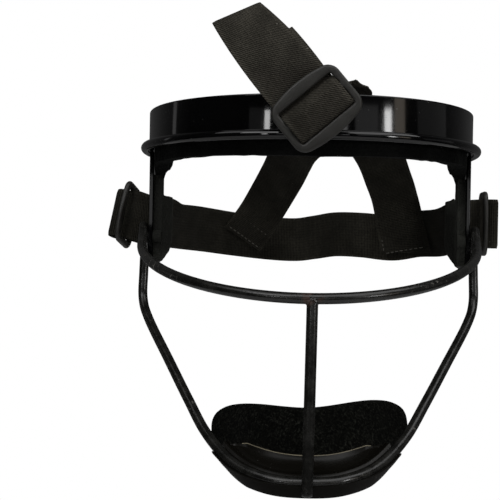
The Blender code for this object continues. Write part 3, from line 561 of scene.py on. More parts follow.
def maths(operation, reflected=False):
    """An operator of Socket that adds one Math node; the reflected form has its two values the other way round."""
    def add_node(self, other=0.0):
        first, second = (other, self) if reflected else (self, other)
        return self.nodes.node("ShaderNodeMath", {"operation": operation}, {0: first, 1: second})
    return add_node


class Socket:
    """A node's output, in which shader maths is written as sums."""

    def __init__(self, nodes, output):
        self.nodes = nodes
        self.output = output

    __add__ = maths("ADD")
    __radd__ = maths("ADD", True)
    __sub__ = maths("SUBTRACT")
    __rsub__ = maths("SUBTRACT", True)
    __mul__ = maths("MULTIPLY")
    __rmul__ = maths("MULTIPLY", True)
    __pow__ = maths("POWER")
    __abs__ = maths("ABSOLUTE")
    sine = maths("SINE")

    def clamped(self):
        """The value kept between 0 and 1."""
        return self.nodes.node("ShaderNodeClamp", {}, {0: self})


class Nodes:
    """A node tree to which every node is added by one method."""

    def __init__(self, tree):
        self.tree = tree

    def node(self, kind, settings=None, inputs=None, output=0):
        """Any node, with its settings, then the values or links of its sockets."""
        made = self.tree.nodes.new(kind)
        for label, value in (settings or {}).items():
            setattr(made, label, value)
        for key, value in (inputs or {}).items():
            if isinstance(value, Socket):
                self.tree.links.new(value.output, made.inputs[key])
            else:
                made.inputs[key].default_value = value
        return Socket(self, made.outputs[output])


def socket_name(word):
    """A shader socket's name, from the word used for it here."""
    return word.replace("_", " ").title().replace("Ior", "IOR")


class Finish(Nodes):
    """A material whose constants stand on its shader and whose changes come from nodes."""

    def __init__(self, name, **sockets):
        self.material = bpy.data.materials.new(name)
        self.material.use_nodes = True
        super().__init__(self.material.node_tree)
        self.shader = self.tree.nodes["Principled BSDF"]
        for label, value in sockets.items():
            self.shader.inputs[socket_name(label)].default_value = value

    def place(self):
        """Where a point of the surface lies on its object."""
        return self.node("ShaderNodeTexCoord", output="Object")

    def noise(self, where, scale, detail=2.0, roughness=0.5):
        """Soft noise from 0 to 1."""
        return self.node("ShaderNodeTexNoise", {}, {"Vector": where, "Scale": scale, "Detail": detail,
                                                    "Roughness": roughness})

    def cells(self, where, scale):
        """Distance from the nearest of many scattered points."""
        return self.node("ShaderNodeTexVoronoi", {}, {"Vector": where, "Scale": scale}, "Distance")

    def part(self, vector, axis):
        """One coordinate of a place."""
        return self.node("ShaderNodeSeparateXYZ", {}, {0: vector}, axis)

    def range(self, value, low, high, first=0.0, last=1.0):
        """The value, stretched from one range to another and kept in it."""
        return self.node("ShaderNodeMapRange", {"clamp": True}, {0: value, 1: low, 2: high, 3: first, 4: last})

    def mixed(self, share, first, second):
        """One colour over another."""
        return self.node("ShaderNodeMix", {"data_type": "RGBA"}, {
            "Factor": share, 6: first if isinstance(first, Socket) else (*first, 1.0),
            7: second if isinstance(second, Socket) else (*second, 1.0)}, 2)

    def feed(self, **sources):
        """Link values to the shader's sockets."""
        for label, value in sources.items():
            self.tree.links.new(value.output, self.shader.inputs[socket_name(label)])

    def bump(self, height, distance, strength=1.0):
        """Relief of that height."""
        relief = self.node("ShaderNodeBump", {}, {"Strength": strength, "Distance": distance, "Height": height})
        self.tree.links.new(relief.output, self.shader.inputs["Normal"])


def gloss_finish(name, tone, roughness=0.055, shine=0.5):
    """Polished moulded plastic, with a little haze, dust and fine scratches."""
    finish = Finish(name, base_color=(*tone, 1.0), specular_ior_level=shine)
    where = finish.place()
    haze = finish.noise(where, 38.0, 3.0)
    ripple = finish.noise(where, 11.0, 1.0)
    long_way = finish.node("ShaderNodeMapping", {}, {"Vector": where, "Scale": (30.0, 30.0, 900.0)})
    scratch = finish.range(finish.noise(long_way, 3.0, 2.0), 0.62, 0.78)
    dust = 1.0 - finish.range(finish.cells(where, 300.0), 0.04, 0.10)
    dusty = dust * finish.range(haze, 0.50, 0.66)
    finish.feed(roughness=finish.range(haze, 0.35, 0.75, roughness, roughness + 0.05) + scratch * 0.03 + dusty * 0.3,
                base_color=finish.mixed(dusty * 0.7, tone, (0.16, 0.16, 0.15)))
    finish.bump(ripple * 2.0 + haze * 0.3 + scratch * 0.05, 0.0004, 0.10)
    return finish.material


def foam_finish(name, tone):
    """Closed-cell foam with a pebbled skin and pale specks."""
    finish = Finish(name, specular_ior_level=0.03)
    where = finish.place()
    pebble = finish.cells(where, 620.0)
    soft = finish.noise(where, 300.0, 4.0, 0.6)
    broad = finish.noise(where, 40.0, 3.0)
    speck = finish.range(finish.noise(where, 1100.0, 2.0, 0.7), 0.66, 0.76)
    grey = scaled(tone, 4.5)
    finish.feed(base_color=finish.mixed((speck * 0.8 + finish.range(broad, 0.45, 0.8, 0.0, 0.5)).clamped(), tone,
                                        grey),
                roughness=finish.range(soft, 0.3, 0.7, 0.55, 0.85))
    finish.bump(pebble + soft * 1.4, 0.0005, 0.8)
    return finish.material


def wire_finish(name, tone):
    """Dipped coating on wire: satin, slightly uneven, with small chips and a rusty weld."""
    finish = Finish(name, specular_ior_level=0.5)
    where = finish.place()
    uneven = finish.noise(where, 150.0, 4.0, 0.6)
    scuff = finish.range(finish.noise(where, 420.0, 4.0, 0.7), 0.60, 0.68)
    patch = finish.range(finish.noise(where, 24.0, 2.0), 0.54, 0.64)
    chips = scuff * patch
    weld = (NOSE_LEAN, CHEEK_FRONT_Y - 0.001, CHEEK_FRONT_Z + 0.001)
    apart = finish.node("ShaderNodeVectorMath", {"operation": "DISTANCE"}, {0: where, 1: weld}, "Value")
    rust = (1.0 - finish.range(apart, 0.0015, 0.0060)) * finish.range(uneven, 0.45, 0.62)
    shade = finish.mixed((chips * 0.9).clamped(), finish.mixed(finish.range(uneven, 0.4, 0.7), tone,
                                                               scaled(tone, 2.4)),
                         (0.20, 0.19, 0.17))
    finish.feed(base_color=finish.mixed((rust * 0.8).clamped(), shade, (0.10, 0.035, 0.015)),
                roughness=finish.range(uneven, 0.3, 0.7, 0.17, 0.32) + rust * 0.3)
    finish.bump(uneven + chips * 0.5, 0.0004, 0.5)
    return finish.material


def cloth_finish(name, tone):
    """Brushed loop cloth: dark, with a fine mottle of greys."""
    finish = Finish(name, specular_ior_level=0.02, sheen_weight=0.01, sheen_roughness=0.5)
    where = finish.place()
    loops = finish.noise(where, 900.0, 3.0, 0.75)
    tufts = finish.noise(where, 330.0, 3.0, 0.6)
    broad = finish.noise(where, 28.0, 2.0)
    fibre = finish.range(loops, 0.48, 0.66) * finish.range(tufts, 0.38, 0.62, 0.25, 1.0)
    dark, grey = scaled(tone, 0.4), scaled(tone, 6.5)
    finish.feed(base_color=finish.mixed((fibre * finish.range(broad, 0.35, 0.65, 0.5, 1.0)).clamped(), dark, grey),
                roughness=finish.range(loops, 0.3, 0.7, 0.75, 0.95))
    finish.bump(loops * 1.5 + tufts, 0.0008, 1.0)
    return finish.material


def webbing_finish(name, tone, pitch, slant):
    """Woven elastic: ribs, fine lengthwise cords, a paler selvedge, a few specks of lint, and painted shade from 70 to
    96 mm right of the middle.

    The slant turns the ribs from straight across the strap towards a twill.
    """
    finish = Finish(name, specular_ior_level=0.04, sheen_weight=0.01, sheen_roughness=0.4)
    where = finish.node("ShaderNodeUVMap", {"uv_map": "weave"})
    u, v = finish.part(where, "X"), finish.part(where, "Y")
    wander = finish.noise(where, 60.0, 2.0)
    along = v * (cos(radians(slant)) * pi / pitch) + u * (sin(radians(slant)) * pi / pitch)
    ribs = abs((along + wander * 2.2).sine())
    cords = (u * (2 * pi / (pitch * 1.6))).sine() * 0.5 + 0.5
    thread = finish.noise(where, 1300.0, 3.0, 0.7)
    worn = finish.range(finish.noise(where, 55.0, 3.0), 0.42, 0.70)
    edge = finish.range(abs(u), 0.0132, 0.0148)
    lint = 1.0 - finish.range(finish.cells(where, 85.0), 0.022, 0.045)
    spot = finish.place()
    side = finish.part(spot, "X")
    # Painted shade: a band from 70 to 96 mm right of the middle is made darker, where the back strap's right part lies
    # in shade.
    painted_shade_band = finish.range(side, 0.070, 0.077) * (1.0 - finish.range(side, 0.092, 0.096))
    # A broad random mottle, multiplied by that painted shade.
    cloud_and_painted_shade = finish.range(finish.noise(spot, 42.0, 2.0), 0.36, 0.62, 0.55, 1.0) * (1.0 - painted_shade_band * 0.75)
    dark, pale = scaled(tone, 0.22), scaled(tone, 2.1)
    mottle = finish.noise(where, 620.0, 3.0, 0.7)
    weave = ((ribs ** 1.5) * 0.70 + cords * 0.15 + (thread - 0.5) * 0.9 + (mottle - 0.5) * 1.1).clamped()
    shade = finish.mixed(weave * cloud_and_painted_shade, dark, tone)
    shade = finish.mixed(((worn * 0.4 + edge * 0.35) * weave * cloud_and_painted_shade).clamped(), shade, pale)
    finish.feed(base_color=finish.mixed(lint * 0.6, shade, (0.24, 0.23, 0.20)),
                roughness=finish.range(thread, 0.2, 0.8, 0.62, 0.88))
    finish.bump(ribs + cords * 0.25 + thread * 0.5, 0.0003, 1.0)
    return finish.material


def satin_finish(name, tone, roughness=0.40):
    """Moulded plastic with a fine spark-eroded grain and rubbed edges."""
    finish = Finish(name, specular_ior_level=0.5)
    where = finish.place()
    grain = finish.noise(where, 1500.0, 3.0, 0.6)
    cloud = finish.noise(where, 80.0, 4.0)
    rub = finish.range(finish.node("ShaderNodeNewGeometry", output="Pointiness"), 0.52, 0.60)
    pale = scaled(tone, 2.4)
    finish.feed(base_color=finish.mixed((finish.range(cloud, 0.4, 0.7, 0.0, 0.5) + rub * 0.4).clamped(), tone, pale),
                roughness=finish.range(cloud, 0.3, 0.7, roughness, roughness + 0.14))
    finish.bump(grain, 0.00015, 0.6)
    return finish.material


def metal_finish(name, tone):
    """Plain plated steel, a little dull."""
    finish = Finish(name, base_color=(*tone, 1.0), metallic=1.0)
    haze = finish.noise(finish.place(), 400.0, 3.0)
    finish.feed(roughness=finish.range(haze, 0.3, 0.7, 0.18, 0.42))
    finish.bump(haze, 0.0001, 0.4)
    return finish.material


def thread_finish(name, tone):
    """Twisted sewing thread."""
    finish = Finish(name, specular_ior_level=0.3)
    twist = finish.noise(finish.place(), 2600.0, 2.0)
    pale = scaled(tone, 2.2)
    finish.feed(base_color=finish.mixed(twist, tone, pale), roughness=finish.range(twist, 0.3, 0.7, 0.55, 0.8))
    return finish.material


def shared(name, make, tone, *words):
    """A finish that several pieces wear; its name differs from the CAD model's own materials."""
    name = "mask_" + name
    return bpy.data.materials.get(name) or make(name, tuple(tone), *words)


def band_outline(steps=84):
    """The band's outer plan curve with its outward directions, from the left temple to the right one."""
    points = []
    for step in range(-steps, steps + 1):
        turn = pi / 2 * step / steps
        across = abs(sin(turn)) ** (2 / BAND_ROUNDNESS) * BAND_WIDTH / 2
        back = TEMPLE_Y - BAND_DEPTH * abs(cos(turn)) ** (2 / BAND_ROUNDNESS)
        points.append(Vector((across if turn > 0 else -across, back)))
    tail = Vector((0, BAND_TAIL))
    points = ([points[0] + tail, points[0] + tail / 2] + points + [points[-1] + tail / 2, points[-1] + tail])
    return [(point, Vector((way.y, -way.x))) for point, way in zip(points, directions(points))]


def ring_at(point, out, section):
    """A flat (outwards, height) section stood on the plan curve at one of its points."""
    return [Vector((*(point + out * corner[0]), corner[1])) for corner in section]


def band_section(bead_radius, edge):
    """The band's wall with its bead, as (outwards, height) from the wall's outer face."""
    centre = bead_radius - BEAD_SINK
    reach = pi - acos(centre / bead_radius)
    bead = []
    for step in range(25):
        turn = blend(reach, -reach, step / 24)
        bead.append(Vector((centre + bead_radius * cos(turn), BEAD_CENTRE_Z + bead_radius * sin(turn))))
    wall = rounded([(-BAND_WALL, BAND_TOP, edge), (0, BAND_TOP, edge),
                    (0, BEAD_CENTRE_Z, 0), (-BAND_WALL, bead[-1].y, 0)], 5)
    return wall[:12] + bead + [wall[-1]]


def arm_outline():
    """The side arm and its plate, seen from the side."""
    bottom = PLATE_TOP - PLATE_FRONT_HEIGHT
    return rounded([
        (ARM_FRONT_Y, BEAD_CENTRE_Z, 0),
        (ARM_REAR_Y, BEAD_CENTRE_Z, 0),
        (ARM_REAR_Y, PLATE_TOP, PLATE_CORNER / 2),
        (PLATE_REAR_Y, PLATE_TOP, PLATE_CORNER / 2),
        (PLATE_REAR_Y, PLATE_TOP - PLATE_REAR_HEIGHT, PLATE_CORNER),
        (ARM_FRONT_Y + PLATE_FRONT_LENGTH, bottom, PLATE_CORNER),
        (ARM_FRONT_Y, bottom, PLATE_CORNER),
    ])


def slot_outline():
    """A strap slot seen from the side."""
    front, rear = SLOT_Y - SLOT_WIDTH / 2, SLOT_Y + SLOT_WIDTH / 2
    half = BACK_STRAP_WIDTH / 2 + SLOT_SPARE
    low, high = STRAP_Z - half, STRAP_Z + half
    return rounded([(back, height, SLOT_WIDTH / 4)
                    for back, height in ((front, low), (rear, low), (rear, high), (front, high))], 4)


def cheek_point(turn_degrees):
    """A point on the cheek bar's centre line; the turn is 0 in front and grows to the right."""
    turn = radians(turn_degrees)
    back = CHEEK_FRONT_Y + CHEEK_DEPTH * (1 - cos(turn))
    share = max(0.0, 1 - (CHEEK_END_Y - back) / CHEEK_RISE_LENGTH)
    height = CHEEK_FRONT_Z + CHEEK_SLOPE * (back - CHEEK_FRONT_Y) + CHEEK_END_RISE * share ** 3
    half = ARM_OUTER_X + CAGE_SIDE_GAP + bpy.context.scene.mask_sizes.wire_radius
    return Vector((half * sin(turn), back, height))


def chin_points():
    """The chin wire's centre line, from the right weld under the chin to the left one."""
    half = ARM_OUTER_X + CAGE_SIDE_GAP + bpy.context.scene.mask_sizes.wire_radius
    top = CHEEK_END_Z - CHIN_TOP_SINK
    rows = list(CHIN_WIRE) + [(-across, forward, drop) for across, forward, drop in reversed(CHIN_WIRE[:-1])]
    return [Vector((half * across - CHIN_SWAY * drop ** 2, blend(CHEEK_END_Y, CHIN_FRONT_Y, forward),
                    top - CHIN_DROP * drop))
            for across, forward, drop in smooth_rows(rows, 12)]


def chin_front():
    """The middle of the chin wire."""
    return min(chin_points(), key=lambda point: point.y)


def chin_line(across):
    """The chin wire's centre line read at a distance from the middle."""
    points = sorted(chin_points(), key=lambda point: point.x)
    for left, right in zip(points, points[1:]):
        if left.x <= across <= right.x:
            return left.lerp(right, (across - left.x) / (right.x - left.x))
    return points[0] if across < 0 else points[-1]


def stud_place(side):
    """Where a cage stud crosses the arm."""
    end = cheek_point(side * CHEEK_END_TURN)
    return Vector((side * ARM_INNER_X, end.y, end.z - STUD_BELOW_END))


def circle(centre, radius):
    """A ring of (back, height) points."""
    turns = [2 * pi * step / CIRCLE_SIDES for step in range(CIRCLE_SIDES)]
    return [(centre.y + radius * cos(turn), centre.z + radius * sin(turn)) for turn in turns]


def turned(side, place, profile, build=None):
    """A round form that stands out from the arm, its profile given as (distance from the middle, radius)."""
    return loft([[Vector((side * distance, *spot)) for spot in circle(place, size)] for distance, size in profile],
                build)[0]


def cut_at(build, spots, way):
    """Cut the mesh across a direction at each of the spots, so that it can bend there."""
    for spot in spots:
        bmesh.ops.bisect_plane(build, geom=build.verts[:] + build.edges[:] + build.faces[:],
                               plane_co=spot, plane_no=way, dist=MERGE)


def join(build, other):
    """Copy one bmesh into another."""
    mesh = bpy.data.meshes.new("joining")
    other.to_mesh(mesh)
    other.free()
    build.from_mesh(mesh)
    bpy.data.meshes.remove(mesh)


def blob(build, centre, size, stretch, seed):
    """A small uneven lump of weld metal."""
    made = bmesh.ops.create_icosphere(build, subdivisions=3, radius=size)["verts"]
    for vert in made:
        vert.co *= 1 + WELD_UNEVENNESS * noise.noise(vert.co * 900 + Vector((seed, 0, 0)))
        vert.co = Vector(vert.co[axis] * stretch[axis] for axis in range(3)) + centre


def ribbon(name, stations, width, thickness, finish, nodes, press=None):
    """A woven strap along stations, each a point and a direction across, with its weave's map."""
    ways = directions([point for point, _ in stations])
    bow = [blend(-0.5, 0.5, column / RIBBON_COLUMNS) for column in range(RIBBON_COLUMNS + 1)]
    rings, spans = [], []
    travelled = 0.0
    for index, ((point, across), way) in enumerate(zip(stations, ways)):
        side = across / (across - way * across.dot(way)).length
        face = way.cross(side).normalized()
        travelled += (point - stations[max(index - 1, 0)][0]).length
        edge = [point + side * width * place for place in bow]
        if press:
            edge = [press(spot) for spot in edge]
        half = thickness / 2
        depths = [half if 0 < number < RIBBON_COLUMNS else half - thickness * SELVEDGE_ROUNDING
                  for number in range(len(edge))]
        lower = [spot - face * depth for spot, depth in zip(edge, depths)]
        upper = [spot + face * depth for spot, depth in zip(edge, depths)]
        rings.append(lower + upper[::-1])
        spans.append(travelled)
    build, where = loft(rings)
    weave = build.loops.layers.uv.new("weave")
    places = bow + bow[::-1]
    for face in build.faces:
        for corner in face.loops:
            ring, place = where[corner.vert]
            corner[weave].uv = (places[place] * width, spans[ring])
    made = piece(name, build, finish, nodes, 50)


def buckle_place(side):
    """The middle of a side buckle, its turn in space and how far the strap reaches beyond it."""
    out, up, lean, pitch, splay, reach = SIDE_BUCKLES[side]
    centre = Vector((side * (ARM_OUTER_X + out - ARM_WALL / 2), SLOT_Y + SIDE_BUCKLE_BACK, STRAP_Z + up))
    turn = (Matrix.Rotation(-side * radians(lean), 3, "Y") @ Matrix.Rotation(-radians(pitch), 3, "X")
            @ Matrix.Rotation(side * radians(splay), 3, "Z"))
    return centre, turn, reach


def loop_stations(side):
    """The strap outside one plate, from its slot to its cut end."""
    centre, turn, reach = buckle_place(side)
    whole = turn.to_quaternion()
    still = Matrix.Identity(3).to_quaternion()
    stations = []
    for out, behind, leaning in smooth_rows(SIDE_LOOP, 8):
        share = min(max(leaning, 0.0), 1.0)
        out = out if out < 1 else 1 + (out - 1) * reach
        x = side * blend(ARM_INNER_X, abs(centre.x), out)
        point = Vector((x, centre.y + BUCKLE_WIDTH * behind, blend(STRAP_Z, centre.z, share)))
        part = still.slerp(whole, share)
        middle = Vector((centre.x, centre.y, point.z))
        stations.append((middle + part @ (point - middle), part @ Vector((0, 0, 1))))
    return stations


def inner_stations():
    """The back strap between the slots."""
    span = ARM_OUTER_X - ARM_WALL / 2
    return [(Vector((span * across, SLOT_Y + BACK_STRAP_DEPTH * back, STRAP_Z - BACK_STRAP_SAG * sag)),
             Vector((sin(radians(twist)), 0, cos(radians(twist)))))
            for across, back, sag, twist in smooth_rows(BACK_STRAP, 12)]


def off_back_strap(place):
    """The place itself, or the nearest one ahead of it that lies on the inner side of the back strap."""
    thickness = bpy.context.scene.mask_sizes.strap_thickness
    points = [point for point, _ in inner_stations()]
    for left, right in zip(points, points[1:]):
        if left.x <= place.x <= right.x:
            slope = (right.y - left.y) / (right.x - left.x)
            gap = (thickness + 2 * CLEARANCE) * sqrt(1 + slope * slope)
            return Vector((place.x, min(place.y, left.y + slope * (place.x - left.x) - gap), place.z))
    return place


def tilted(degrees):
    """A direction across a strap, tilted up to the right."""
    return Vector((cos(radians(degrees)), 0, sin(radians(degrees))))


def brow_joint(layer, thickness):
    """Where a strap ends behind the brow: layer 0 is the lowest."""
    pitch = thickness + 2 * CLEARANCE
    return Vector((BROW_JOINT_SIDE, BROW_JOINT_BACK, BAND_TOP + pitch * (layer - 1)))


def crown_stations(seat, rows, end):
    """A crown strap's line from its sewn end to the joint behind the brow."""
    start = off_back_strap(Vector((seat[0], SLOT_Y + BACK_STRAP_DEPTH, STRAP_Z - seat[1])))
    return [(start + Matrix.Diagonal((across, forward, up)) @ (end - start), tilted(tilt))
            for across, forward, up, tilt in smooth_rows(rows, 9)]


def top_buckle_frame():
    """The top buckle's middle, the direction along its bars and the strap's way up through it."""
    centre = Vector((TOP_BUCKLE_SIDE, BAND_FRONT_Y - TOP_BUCKLE_AHEAD, BAND_TOP - TOP_BUCKLE_BELOW))
    along = tilted(TOP_BUCKLE_SLOPE)
    return centre, along, Vector((-along.z, 0, along.x))


def tab_stations(layer, reach, thickness):
    """A free end from behind the buckle's upper bar; layer 0 lies against the bar and layer 1 behind it."""
    centre, along, climb = top_buckle_frame()
    seat = (BUCKLE_THICKNESS + thickness) / 2 + CLEARANCE
    start = centre + climb * (BUCKLE_WIDTH - BUCKLE_BAR) / 2 + Vector((0, seat, 0))
    rise = radians(TAB_SLOPE)
    shear = tan(radians(TAB_CUT))
    stations = []
    for index in range(TAB_STATIONS + 1):
        share = reach * index / TAB_STATIONS / TAB_LENGTH
        way = climb.lerp(Vector((-cos(rise), 0, sin(rise))), share).normalized()
        across = Matrix.Rotation(radians(TAB_TWIST) * share ** 1.3, 3, way) @ along
        behind = way.cross(across)
        point = start + way * TAB_LENGTH * share + Vector((0, TAB_LEAN * share * share, 0))
        point += (behind * (thickness + TAIL_GAP) + across * TAIL_SHIFT * share) * layer
        point.x -= TAB_DRIFT * share ** 1.5
        stations.append((point, across - way * shear * share * share))
    return stations


def top_strap_stations(thickness):
    """The top strap's line over the band, round the buckle's middle bar and up to its free end."""
    centre, along, climb = top_buckle_frame()
    seat = (BUCKLE_THICKNESS + thickness) / 2 + CLEARANCE
    joint = brow_joint(2, thickness)
    rear = joint.y + BROW_JOINT_LAP
    crest = BAND_TOP + TOP_STRAP_RISE
    stations = []
    for side, ahead, rise, tilt in TOP_STRAP_OVER:
        point = Vector((blend(centre.x, joint.x, side), blend(rear, centre.y + seat, ahead),
                        blend(centre.z, crest, rise)))
        stations.append((point, tilted(tilt)))
    for share, ahead in TOP_STRAP_LOOP:
        stations.append((centre + climb * BUCKLE_WIDTH / 2 * share - Vector((0, seat * ahead, 0)), along))
    stations += tab_stations(0, TAB_LENGTH, thickness)
    return smooth_stations(stations, 8)


def buckle_shape(edge, slot, growth):
    """A three-bar buckle lying flat: a rounded frame with bowed long sides and two slots.

    The growth widens the frame and its slot on the side of the lower bar.
    """
    half_length, half_width = BUCKLE_LENGTH / 2, BUCKLE_WIDTH / 2
    outline = rounded([(half_length * across, half_width * up, BUCKLE_CORNER)
                       for across, up in ((-1, -1), (1, -1), (1, 1), (-1, 1))], 8)
    bowed = []
    for index, point in enumerate(outline):
        bowed.append(point)
        after = outline[(index + 1) % len(outline)]
        if abs(point.y - after.y) < MERGE:
            bowed += [point.lerp(after, share / 14) for share in range(1, 14)]
    for point in bowed:
        share = point.x / half_length
        point.y += BUCKLE_BULGE * (1 - share * share) * (1 if point.y > 0 else -1)
        point.y -= growth if point.y < 0 else 0.0
    slot_width = (BUCKLE_WIDTH - 2 * BUCKLE_BAR - BUCKLE_CENTRE_BAR) / 2
    middle = (BUCKLE_CENTRE_BAR + slot_width) / 2
    half_slot = slot / 2
    loops = [bowed]
    for sign in (-1, 1):
        low = sign * middle - slot_width / 2 - (growth if sign < 0 else 0.0)
        high = sign * middle + slot_width / 2
        corners = [(-half_slot, low), (half_slot, low), (half_slot, high), (-half_slot, high)]
        loops.append(rounded([(*corner, BUCKLE_SLOT_CORNER) for corner in corners], 3))
    return plate(loops, BUCKLE_THICKNESS, edge, 4)


class MASK_OT_band(bpy.types.Operator):
    """Build the forehead band with its bead, side arms and slotted plates"""

    bl_idname = "mask.band"
    bl_label = "Forehead band"

    def execute(self, context):
        sizes, colours = mask_settings(context)
        section = band_section(sizes.bead_radius, sizes.band_edge)
        build = loft([ring_at(point, out, section) for point, out in band_outline()])[0]
        for side in (-1, 1):
            hole = circle(stud_place(side), STUD_RADIUS + CLEARANCE)
            arm = plate([arm_outline(), slot_outline(), hole], ARM_WALL, sizes.plate_edge)
            join(build, stand_up(arm, side, (ARM_INNER_X + ARM_OUTER_X) / 2))
        piece("band", build, shared("gloss_black", gloss_finish, colours.gloss), ["forehead_band"])
        return {"FINISHED"}


class MASK_OT_brow_pad(bpy.types.Operator):
    """Build the foam pad inside the band, whose ends step down beside the arms"""

    bl_idname = "mask.brow_pad"
    bl_label = "Brow pad"

    def execute(self, context):
        colours = mask_settings(context)[1]
        outer = -BAND_WALL - CLEARANCE
        inner = outer - PAD_THICKNESS
        rings = []
        for point, out in band_outline(110):
            if point.y > TEMPLE_Y + BAND_TAIL - CLEARANCE:
                continue
            point.y = min(point.y, TEMPLE_Y + PAD_BACK)
            share = max(0.0, 1 - (TEMPLE_Y + PAD_BACK - point.y) / SHOULDER_LENGTH)
            bottom = -PAD_HEIGHT / 2 - SHOULDER_DROP * share + PAD_LIFT * min(1.0, abs(point.x) / (BAND_WIDTH / 4))
            cut_in = blend(PAD_CORNER, SHOULDER_CUT, share)
            cut_up = blend(PAD_CORNER, SHOULDER_CUT_HEIGHT, share)
            section = [(outer - CLEARANCE, bottom), (outer - CLEARANCE, PAD_HEIGHT / 2)]
            section += [(inner + PAD_CORNER * (1 - sin(turn)), PAD_HEIGHT / 2 - PAD_CORNER * (1 - cos(turn)))
                        for turn in (0, 0.4, 0.8, 1.2, pi / 2)]
            section += [(inner, blend(PAD_HEIGHT / 2 - PAD_CORNER, bottom + cut_up, step / 6)) for step in range(1, 6)]
            section += [(inner + cut_in * inwards, bottom + cut_up * upwards) for inwards, upwards in SHOULDER_CORNER]
            ring = ring_at(point, out, section)
            for vert in ring[3:]:
                vert.xy += out * PAD_WAVES[1] * noise.noise(vert * PAD_WAVES[0])
                vert.z += PAD_RIPPLES[1] * noise.noise(vert * PAD_RIPPLES[0] + Vector((3, 0, 0)))
            rings.append(ring)
        build = loft(rings)[0]
        made = piece("brow_foam", build, shared("black_foam", foam_finish, colours.foam), ["brow_pad"],
                     55)
        return {"FINISHED"}


class MASK_OT_side_pads(bpy.types.Operator):
    """Build the foam pads inside the side plates"""

    bl_idname = "mask.side_pads"
    bl_label = "Side pads"

    def execute(self, context):
        colours = mask_settings(context)[1]
        front = ARM_FRONT_Y + SIDE_PAD_INSET
        rear = SLOT_Y - SLOT_WIDTH / 2 - SIDE_PAD_SLOT_GAP
        top = PAD_LIFT - PAD_HEIGHT / 2 - SHOULDER_DROP + SIDE_PAD_TOP_RISE
        broad_top = PLATE_TOP - SIDE_PAD_TOP_GAP
        tip = PLATE_TOP - PLATE_FRONT_HEIGHT + PLATE_CORNER / 2
        outline = rounded([
            (front, top, 0.0),
            (ARM_REAR_Y - CLEARANCE, top, 0.0),
            (ARM_REAR_Y - CLEARANCE, broad_top, SIDE_PAD_STEP_RADIUS),
            (rear, broad_top, PLATE_CORNER / 2),
            (rear, broad_top - SIDE_PAD_BROAD_HEIGHT, PLATE_CORNER),
            (front + SIDE_PAD_FRONT_LENGTH, tip, PLATE_CORNER),
            (front, tip, PLATE_CORNER / 2),
        ])
        for side, label in SIDES:
            hole = circle(stud_place(side), CAP_RADIUS + 2 * CLEARANCE)
            build = plate([outline, hole], SIDE_PAD_THICKNESS, SIDE_PAD_EDGE, 4)
            cut_at(build, [(blend(front, rear, step / SIDE_PAD_CUTS), 0, 0) for step in range(1, SIDE_PAD_CUTS)],
                   (1, 0, 0))
            for vert in build.verts:
                if vert.co.z * side < 0:
                    share = kept((vert.co.x - ARM_REAR_Y - SIDE_PAD_SWELL_START) / SIDE_PAD_SWELL_LENGTH)
                    share *= kept((vert.co.y - tip) / SIDE_PAD_TIP_TAPER) ** 0.6
                    vert.co.z -= side * SIDE_PAD_SWELL * share * share * (3 - 2 * share)
                    vert.co.z += SIDE_PAD_WAVES[1] * noise.noise(vert.co * SIDE_PAD_WAVES[0])
            stand_up(build, side, ARM_INNER_X - CLEARANCE - SIDE_PAD_THICKNESS / 2)
            # Painted light: the pads' foam is made lighter than the brow pad's, for the light on their inner faces.
            made = piece("side_foam_" + label, build, shared("side_foam", foam_finish, colours.side_foam),
                         ["side_pad_" + label], 50)
        return {"FINISHED"}


class MASK_OT_cage(bpy.types.Operator):
    """Build the welded cheek bar, chin wire, nose bar and studs"""

    bl_idname = "mask.cage"
    bl_label = "Wire cage"

    def execute(self, context):
        sizes, colours = mask_settings(context)
        radius = sizes.wire_radius
        cheek = [cheek_point(blend(-CHEEK_END_TURN, CHEEK_END_TURN, step / CHEEK_TURNS))
                 for step in range(CHEEK_TURNS + 1)]
        build = tube(cheek, radius, dome=0.45)
        tube(chin_points(), radius, build, dome=0.6)
        top, chin = cheek_point(0), chin_front()
        front = chin.y - NOSE_AHEAD
        nose = [(blend(top.y, front, forward), blend(top.z, chin.z, drop)) for forward, drop in NOSE_BEND]
        nose += [(front, blend(nose[-1][1], chin.z - NOSE_BELOW_CHIN, share)) for share in (0.33, 0.67, 1.0)]
        line = [Vector((blend(NOSE_LEAN, NOSE_FOOT_LEAN, (top.z - row[1]) / (top.z - chin.z)), *row))
                for row in smooth_rows(nose, 10)]
        tube(line, radius * 1.02, build, dome=0.3)
        blob(build, top + Vector((NOSE_LEAN, 0, -0.0012)), radius * 1.10, (1.2, 1.0, 1.05), 1)
        blob(build, chin + Vector((0, -0.0012, 0)), radius * 0.9, (1.15, 0.8, 0.9), 2)
        for side in (-1, 1):
            place = stud_place(side)
            stud = [Vector((side * distance, place.y, place.z))
                    for distance in (abs(cheek[0].x) - 0.0002, ARM_OUTER_X, ARM_INNER_X - STUD_PROUD)]
            tube(stud, STUD_RADIUS, build, dome=0.35)
            blob(build, Vector((cheek[0].x * -side, place.y, place.z + 0.0002)), radius * 0.95, (0.9, 1.0, 1.3),
                 3 + side)
            end = cheek_point(side * CHEEK_END_TURN)
            blob(build, end + Vector((0, 0.0004, -0.0022)), radius * 1.05, (1.0, 1.0, 1.0), 7 + side)
        piece("cage", build, shared("coated_wire", wire_finish, colours.wire), ["wire_cage"])
        return {"FINISHED"}


